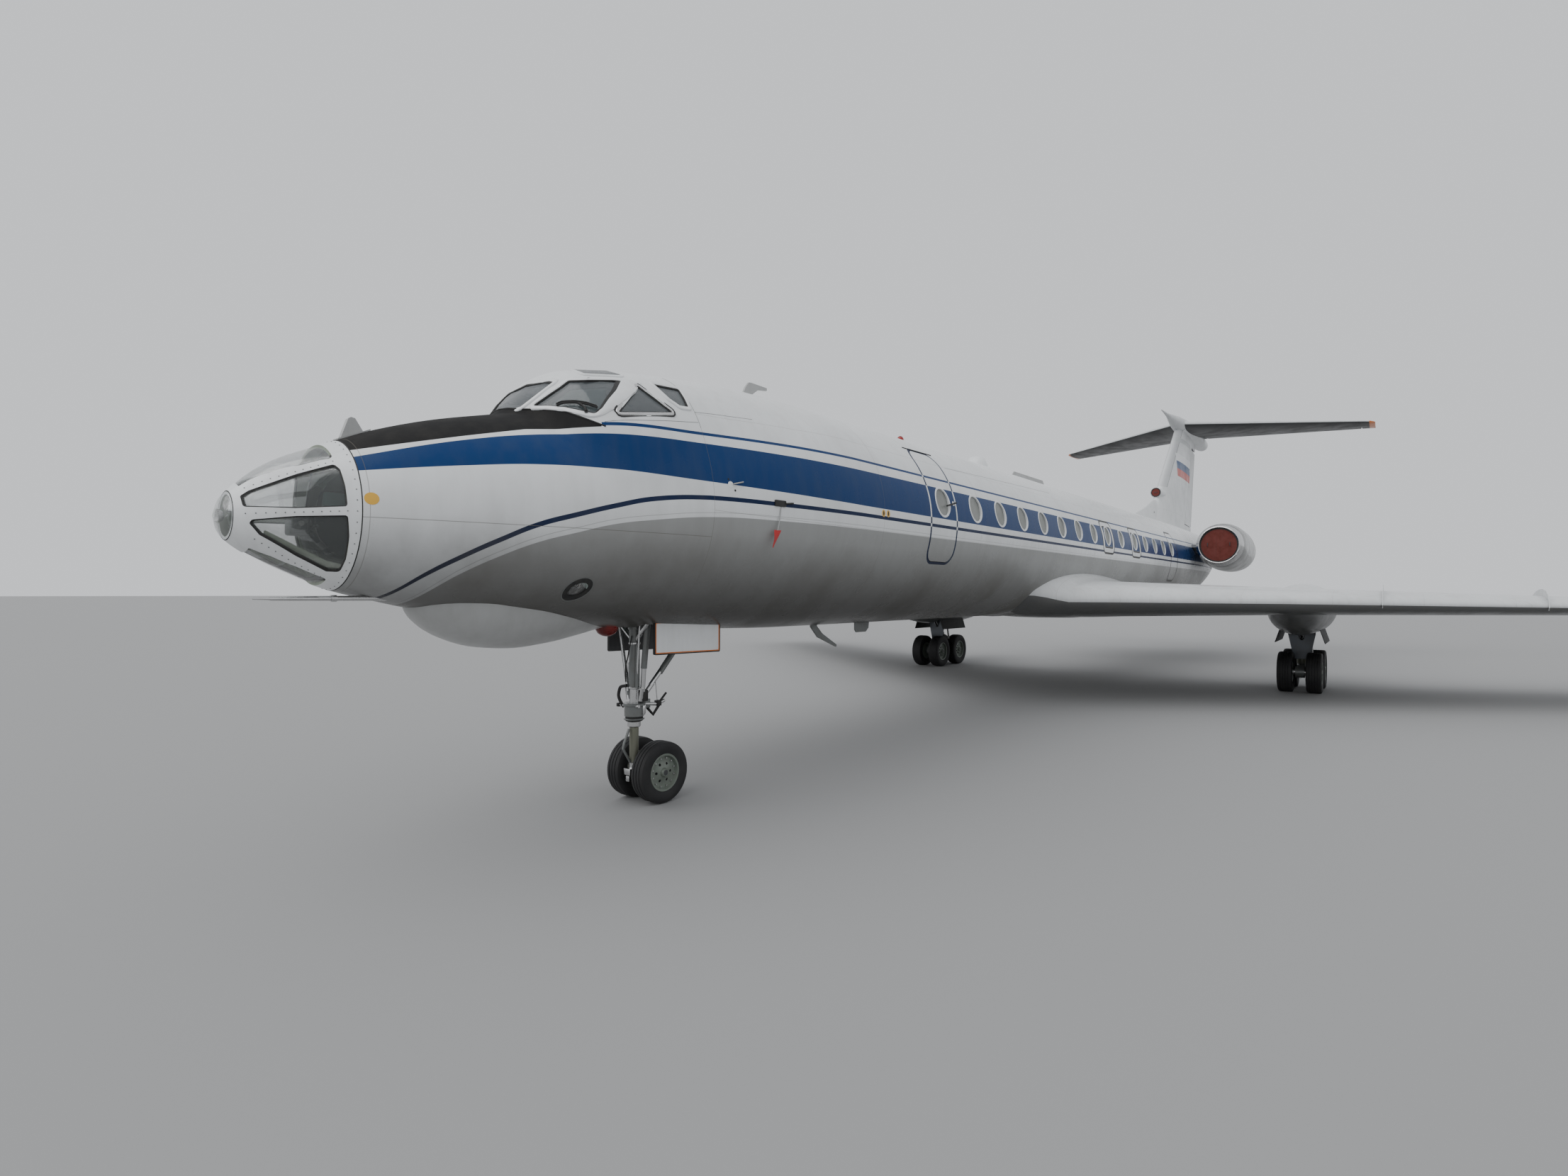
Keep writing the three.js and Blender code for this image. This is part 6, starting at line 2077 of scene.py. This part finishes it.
def buildNoseDoors():
    low, high = gearDoor["heights"]
    front, rear = (at(s) for s in gearDoor["stations"])
    shape = rounded([(front, low + gearDoor["drop"]), (rear, low), (rear, high), (front, high)],
                    gearDoor["corner"])
    for side, sign in bothSides:
        x0, x1 = gearDoor["x"]
        panel = prism(shape, 0, x0, x1)
        for face in panel.faces:  # the edges are dark
            face.material_index = 0 if abs(face.normal.x) > 0.5 else 2
        lines = [pipe([(x1, y, z) for y, z in grown(shape, -inset)], gearDoor["line"], 8, closed=True)
                 for inset in gearDoor["insets"]]
        whole = gather(panel, paint(lines[0], 2), paint(lines[1], 1))
        if sign < 0:
            whole = mirrored(whole, keep=False)
        addPiece(f"nose_door_panel_{side}", whole,
                 ["plainWhite" if sign > 0 else "dark", "orange" if sign > 0 else "dark", "black"],
                 [f"nose_gear_door_{side}"])


buildNoseDoors()


def buildMainGear(side, sign):
    x, s, z = sign * gear["track"], gear["mainStation"], mainTyre["axleHeight"]
    half = gear["axleSpread"] / 2
    leg = [collar(x, s, z + 0.132, 1.15, 0.088), collar(x, s, 1.0, 1.949, 0.12),
           collar(x, s, 0.62, 0.74, 0.115, 1), collar(x, s, 0.96, 1.02, 0.14, 0),
           cube(x - 0.1, x + 0.1, s - 0.16, s - 0.1, 0.75, 1.0, 1, 0.01)]
    for k in (1, -1):
        leg += [bar([(x + k * 0.13, s - 0.08, 0.8), (x + k * 0.13, s - 0.08, 1.9)], 0.014, 3),
                bar([(x + k * 0.17, s + 0.3, 0.75), (x + k * 0.14, s + 0.1, 1.7)], 0.03, 2)]
    fairing = [(x + out, z) for out, z in gear["fairing"]]
    leg.append(paint(prism(rounded(fairing, 0.03), 1, at(s - 0.19), at(s - 0.165)), 4))
    addPiece(f"main_leg_assembly_{side}", gather(*leg), ["gear", "olive", "chrome", "black", "pylon"],
             [f"main_leg_{side}"])
    strut = [bar([(x, s - 0.08, 1.14), (x, 19.25, 1.93)], 0.048),
             bar([(x, s - 0.1, 1.16), (x, s - 0.3, 1.38)], 0.056, 1)]
    addPiece(f"main_drag_strut_assembly_{side}", gather(*strut), ["gear", "chrome"],
             [f"main_drag_strut_{side}"])
    beam = [cube(x - 0.075, x + 0.075, s - half, s + half, z - 0.09, z + 0.09, 0, 0.03),
            cube(x - 0.08, x + 0.08, s - 0.2, s + 0.2, z - 0.1, z + 0.129, 0, 0.03)]
    for shift in (-half, half):
        beam.append(rod((x - 0.09, at(s + shift), z), (x + 0.09, at(s + shift), z), 0.128, sides=48))
    beam.append(bar([(x, s - half, z - 0.14), (x, s + half, z - 0.14)], 0.02, 1))
    addPiece(f"bogie_beam_assembly_{side}", gather(*beam), ["gear", "chrome"],
             [f"bogie_beam_{side}"])
    doors = []
    values = gear["mainDoor"]
    (wide, high), (wider, low) = values["top"], values["bottom"]
    for out in (-1, 1):
        a, b, thick = x + out * wide, x + out * wider, out * values["thick"]
        ring = [(a, high), (a + thick, high), (b + thick, low), (b, low)]
        if out < 0:
            ring.reverse()
        doors.append(prism(ring, 1, *(at(station) for station in values["stations"])))
    addPiece(f"main_gear_doors_{side}", gather(*doors), ["black"])


for side, sign in bothSides:
    buildMainGear(side, sign)
print("gear built")

# radome, boom and lights

radome = {
    "rows": [(1.29, 2.17, 0.06), (1.4, 2.01, 0.27), (1.6, 1.872, 0.41), (1.9, 1.775, 0.5),
             (2.25, 1.745, 0.52), (2.6, 1.775, 0.48), (2.95, 1.835, 0.38), (3.25, 1.893, 0.23),
             (3.42, 1.922, 0.08)],
    "axis": 2.22,
    "rise": 0.18,
    "boom": [(0.2, 2.212, 0.006), (0.3, 2.212, 0.009), (0.31, 2.212, 0.014), (0.7, 2.213, 0.018),
             (1.2, 2.215, 0.024), (1.32, 2.22, 0.03)],
    "boomSide": 0.13,
    "boomRing": (0.7, 0.74, 2.213, 0.026),  # stations, height and radius
    "boomFoot": [(1.12, 2.21), (1.36, 2.16), (1.36, 2.26), (1.2, 2.24)],
}


def buildRadome():
    rings = []
    for s in spread((1.29, 1.5, 0.02), (1.5, 3.2, 0.07), (3.2, 3.42, 0.04)):
        bottom, half = columnsAt(radome["rows"], s)
        rings.append(oval(0, s, radome["axis"], half, radome["rise"], radome["axis"] - bottom, 96))
    addPiece("radome_skin", tube(rings), ["radome"], ["chin_radome"])
    x = radome["boomSide"]
    start, end, z, radius = radome["boomRing"]
    boom = [tube([oval(x, s, height, r, r, r, 20) for s, height, r in radome["boom"]]),
            rod((x, at(start), z), (x, at(end), z), radius, sides=24),
            prism(sideOn(radome["boomFoot"]), 0, x - 0.012, x + 0.012)]
    addPiece("air_data_boom", gather(*boom), ["chrome"])


buildRadome()
print("radome built")

# small things on the skin

fittings = {
    # marks on the port side: place, half sizes and paint
    "marks": [((0.80, 2.941), (0.045, 0.045), 1), ((3.85, 3.329), (0.032, 0.032), 0),
              ((3.90, 3.274), (0.011, 0.011), 2), ((3.829, 3.38), (0.009, 0.009), 2),
              ((6.461, 3.255), (0.04, 0.045), 1), ((6.461, 3.255), (0.014, 0.03), 2),
              ((6.572, 3.258), (0.04, 0.045), 1), ((6.572, 3.258), (0.014, 0.03), 2),
              ((8.43, 3.56), (0.035, 0.035), 0)],
    # lines of distance out, station and height
    "seams": [[(0.94, 2.6, 3.77), (1.03, 3.02, 3.845), (1.06, 3.63, 3.93)],
              [(0.5, 3.66, 4.47), (0.84, 3.64, 4.25), (0.96, 3.64, 4.1), (1.09, 3.64, 3.88)],
              [(1.0, 3.64, 4.043), (1.01, 3.93, 4.075), (1.036, 4.45, 4.11)],
              [(1.155, 8.66, 4.137), (1.1, 11.0, 4.2), (1.047, 13.4, 4.263)]],
    "gutter": [(1.002, 7.674, 4.308), (0.988, 8.538, 4.321)],
    "handle": [(1.43, 8.17, 3.50), (1.416, 8.487, 3.572)],
    "vane": [(1.295, 3.872, 3.331), (1.31, 4.001, 3.365)],
    "pennant": {"x": 1.395, "s": 4.46, "top": 2.915, "width": 0.1, "length": 0.185},
    # station, height, distance out and radius
    "finPorts": [(26.13, 5.01, 0.118, 0.04), (26.88, 5.17, 0.13, 0.025)],
    "rudderPorts": [(31.92, 5.845, 0.09, 0.04)],
    # plates seen from the side: each piece's paint, with the thickness and outline of its plates
    "plates": {
        "nose_top_antenna": ("radome", [
            (0.05, [(0.79, 3.42), (0.855, 3.615), (0.875, 3.63), (0.905, 3.625), (0.99, 3.49)]),
            (0.1, [(0.775, 3.42), (0.775, 3.446), (1.01, 3.554), (1.01, 3.52)])]),
        "roof_hook_antenna": ("radome", [
            (0.03, [(5.38, 4.6), (5.4, 4.69), (5.49, 4.86), (5.55, 4.93), (5.6, 4.935), (5.9, 4.93),
                    (5.9, 4.895), (5.73, 4.87), (5.6, 4.78), (5.6, 4.66)])]),
        "roof_plate_antenna": ("radome", [
            (0.02, [(13.9, 4.66), (14.2, 4.9), (15.9, 4.9), (16.2, 4.66)])]),
        "belly_antennas": ("gear", [
            (0.03, [(6.88, 1.9), (6.89, 1.78), (7.05, 1.63), (7.5, 1.47), (7.51, 1.5), (7.15, 1.68),
                    (7.02, 1.79), (7.02, 1.9)]),
            (0.02, [(8.0, 1.88), (8.0, 1.7), (8.04, 1.66), (8.3, 1.66), (8.38, 1.72), (8.4, 1.88)])]),
    },
    "plug": ((4.43, 3.165), (4.59, 3.23)),
    "plugRod": [(1.38, 4.58, 3.2), (1.39, 4.7, 3.213)],
    "strap": [(1.386, 4.525, 3.17), (1.392, 4.5, 3.05)],  # it goes on to the pennant's top
    "roofBeacon": (9.35, 4.77, [(0, 0), (0, 0.06), (0.05, 0.058), (0.08, 0.044), (0.1, 0.02),
                                (0.105, 0)]),
    "bellyBeacon": (3.36, 1.93, [(0, 0), (0, 0.12), (0.05, 0.118), (0.095, 0.09), (0.12, 0.045),
                                 (0.128, 0)]),
    "dome": (12.3, 4.6, [(0.36, 0), (0.35, 0.09), (0.3, 0.16), (0.2, 0.21), (0.0, 0.24),
                         (-0.1, 0.24), (-0.1, 0)]),
}


def upright(values, way, sides):
    # a profile turned about a line up or down from a place on the middle plane
    s, z, profile = values
    return revolve(profile, (0, at(s), z), (0, at(s), z + way), sides)


def buildFittings():
    for name, (paintName, plates) in fittings["plates"].items():
        shapes = [prism(sideOn(outline), 0, -thick / 2, thick / 2) for thick, outline in plates]
        addPiece(name, gather(*shapes), [paintName])
    spots = []
    for (s, z), halves, index in fittings["marks"]:
        spots.append(paint(decal(disc(at(s), z, *halves), 0, 3, -1, 0.0012 + index * 0.0006), index))
    addPiece("side_marks", gather(*spots), ["plainWhite", "yellow", "black"])
    lines = [skinLine(points, 0.0035, -0.0012) for points in fittings["seams"]]
    addPiece("skin_seams", mirrored(gather(*lines)), ["gear"])
    gutter, handle = skinLine(fittings["gutter"], 0.009, 0.002), skinLine(fittings["handle"], 0.012, 0.02)
    vane = skinLine(fittings["vane"], 0.008, 0.018)
    plate = rounded(rectangle(*sideOn(fittings["plug"])), 0.012)
    plug = flatPane(skinTree, plate, 0, 3, -1, -0.014, 0.022)
    plugRod = skinLine(fittings["plugRod"], 0.009, 0.012)
    addPiece("door_furniture", gather(gutter, handle), ["black"])
    addPiece("flow_vanes", mirrored(vane), ["steel"])
    addPiece("static_port_plug", gather(plug, plugRod), ["black"])
    flag = fittings["pennant"]
    rings = []
    for share in np.linspace(0, 1, 15):
        half = flag["width"] / 2 * (1 - 0.9 * share)
        place, height = at(flag["s"] - 0.07 * share), flag["top"] - share * flag["length"]
        row = [(flag["x"] + 0.006 * math.sin(5 * share + 25 * u * half), place + u * half, height)
               for u in np.linspace(-1, 1, 7)]
        rings.append([(x + 0.0008, y, z) for x, y, z in row]
                     + [(x - 0.0008, y, z) for x, y, z in reversed(row)])
    cloth = addPiece("plug_pennant", tube(rings), ["pennant"], sharp=60)
    strapPath = [*fittings["strap"], (flag["x"], flag["s"], flag["top"] - 0.006)]
    strapRings = [[(x + a * 0.0012, at(s) + b * 0.007, z) for a, b in ((1, -1), (1, 1), (-1, 1), (-1, -1))]
                  for x, s, z in bend(strapPath, 5)]
    strap = addPiece("plug_strap", tube(strapRings), ["radome"])
    s, z = fittings["roofBeacon"][:2]
    beacon = [collar(0, s, z - 0.07, z, 0.07, 1), upright(fittings["roofBeacon"], 1, 32),
              upright(fittings["bellyBeacon"], -1, 32)]
    addPiece("red_beacons", gather(*beacon), ["redLens", "steel"])
    for name, body in (("fin", "airframe"), ("rudder", "rudder")):
        ports = []
        for s, z, x, radius in fittings[f"{name}Ports"]:
            for sign in (-1, 1):
                ports.append(rod((sign * (x - 0.06), at(s), z), (sign * x, at(s), z), radius, sides=24))
        addPiece(f"{name}_ports", gather(*ports), ["dark"], body=body)
    addPiece("roof_dome", upright(fittings["dome"], 1, 48), ["white"])


buildFittings()
print("fittings built")
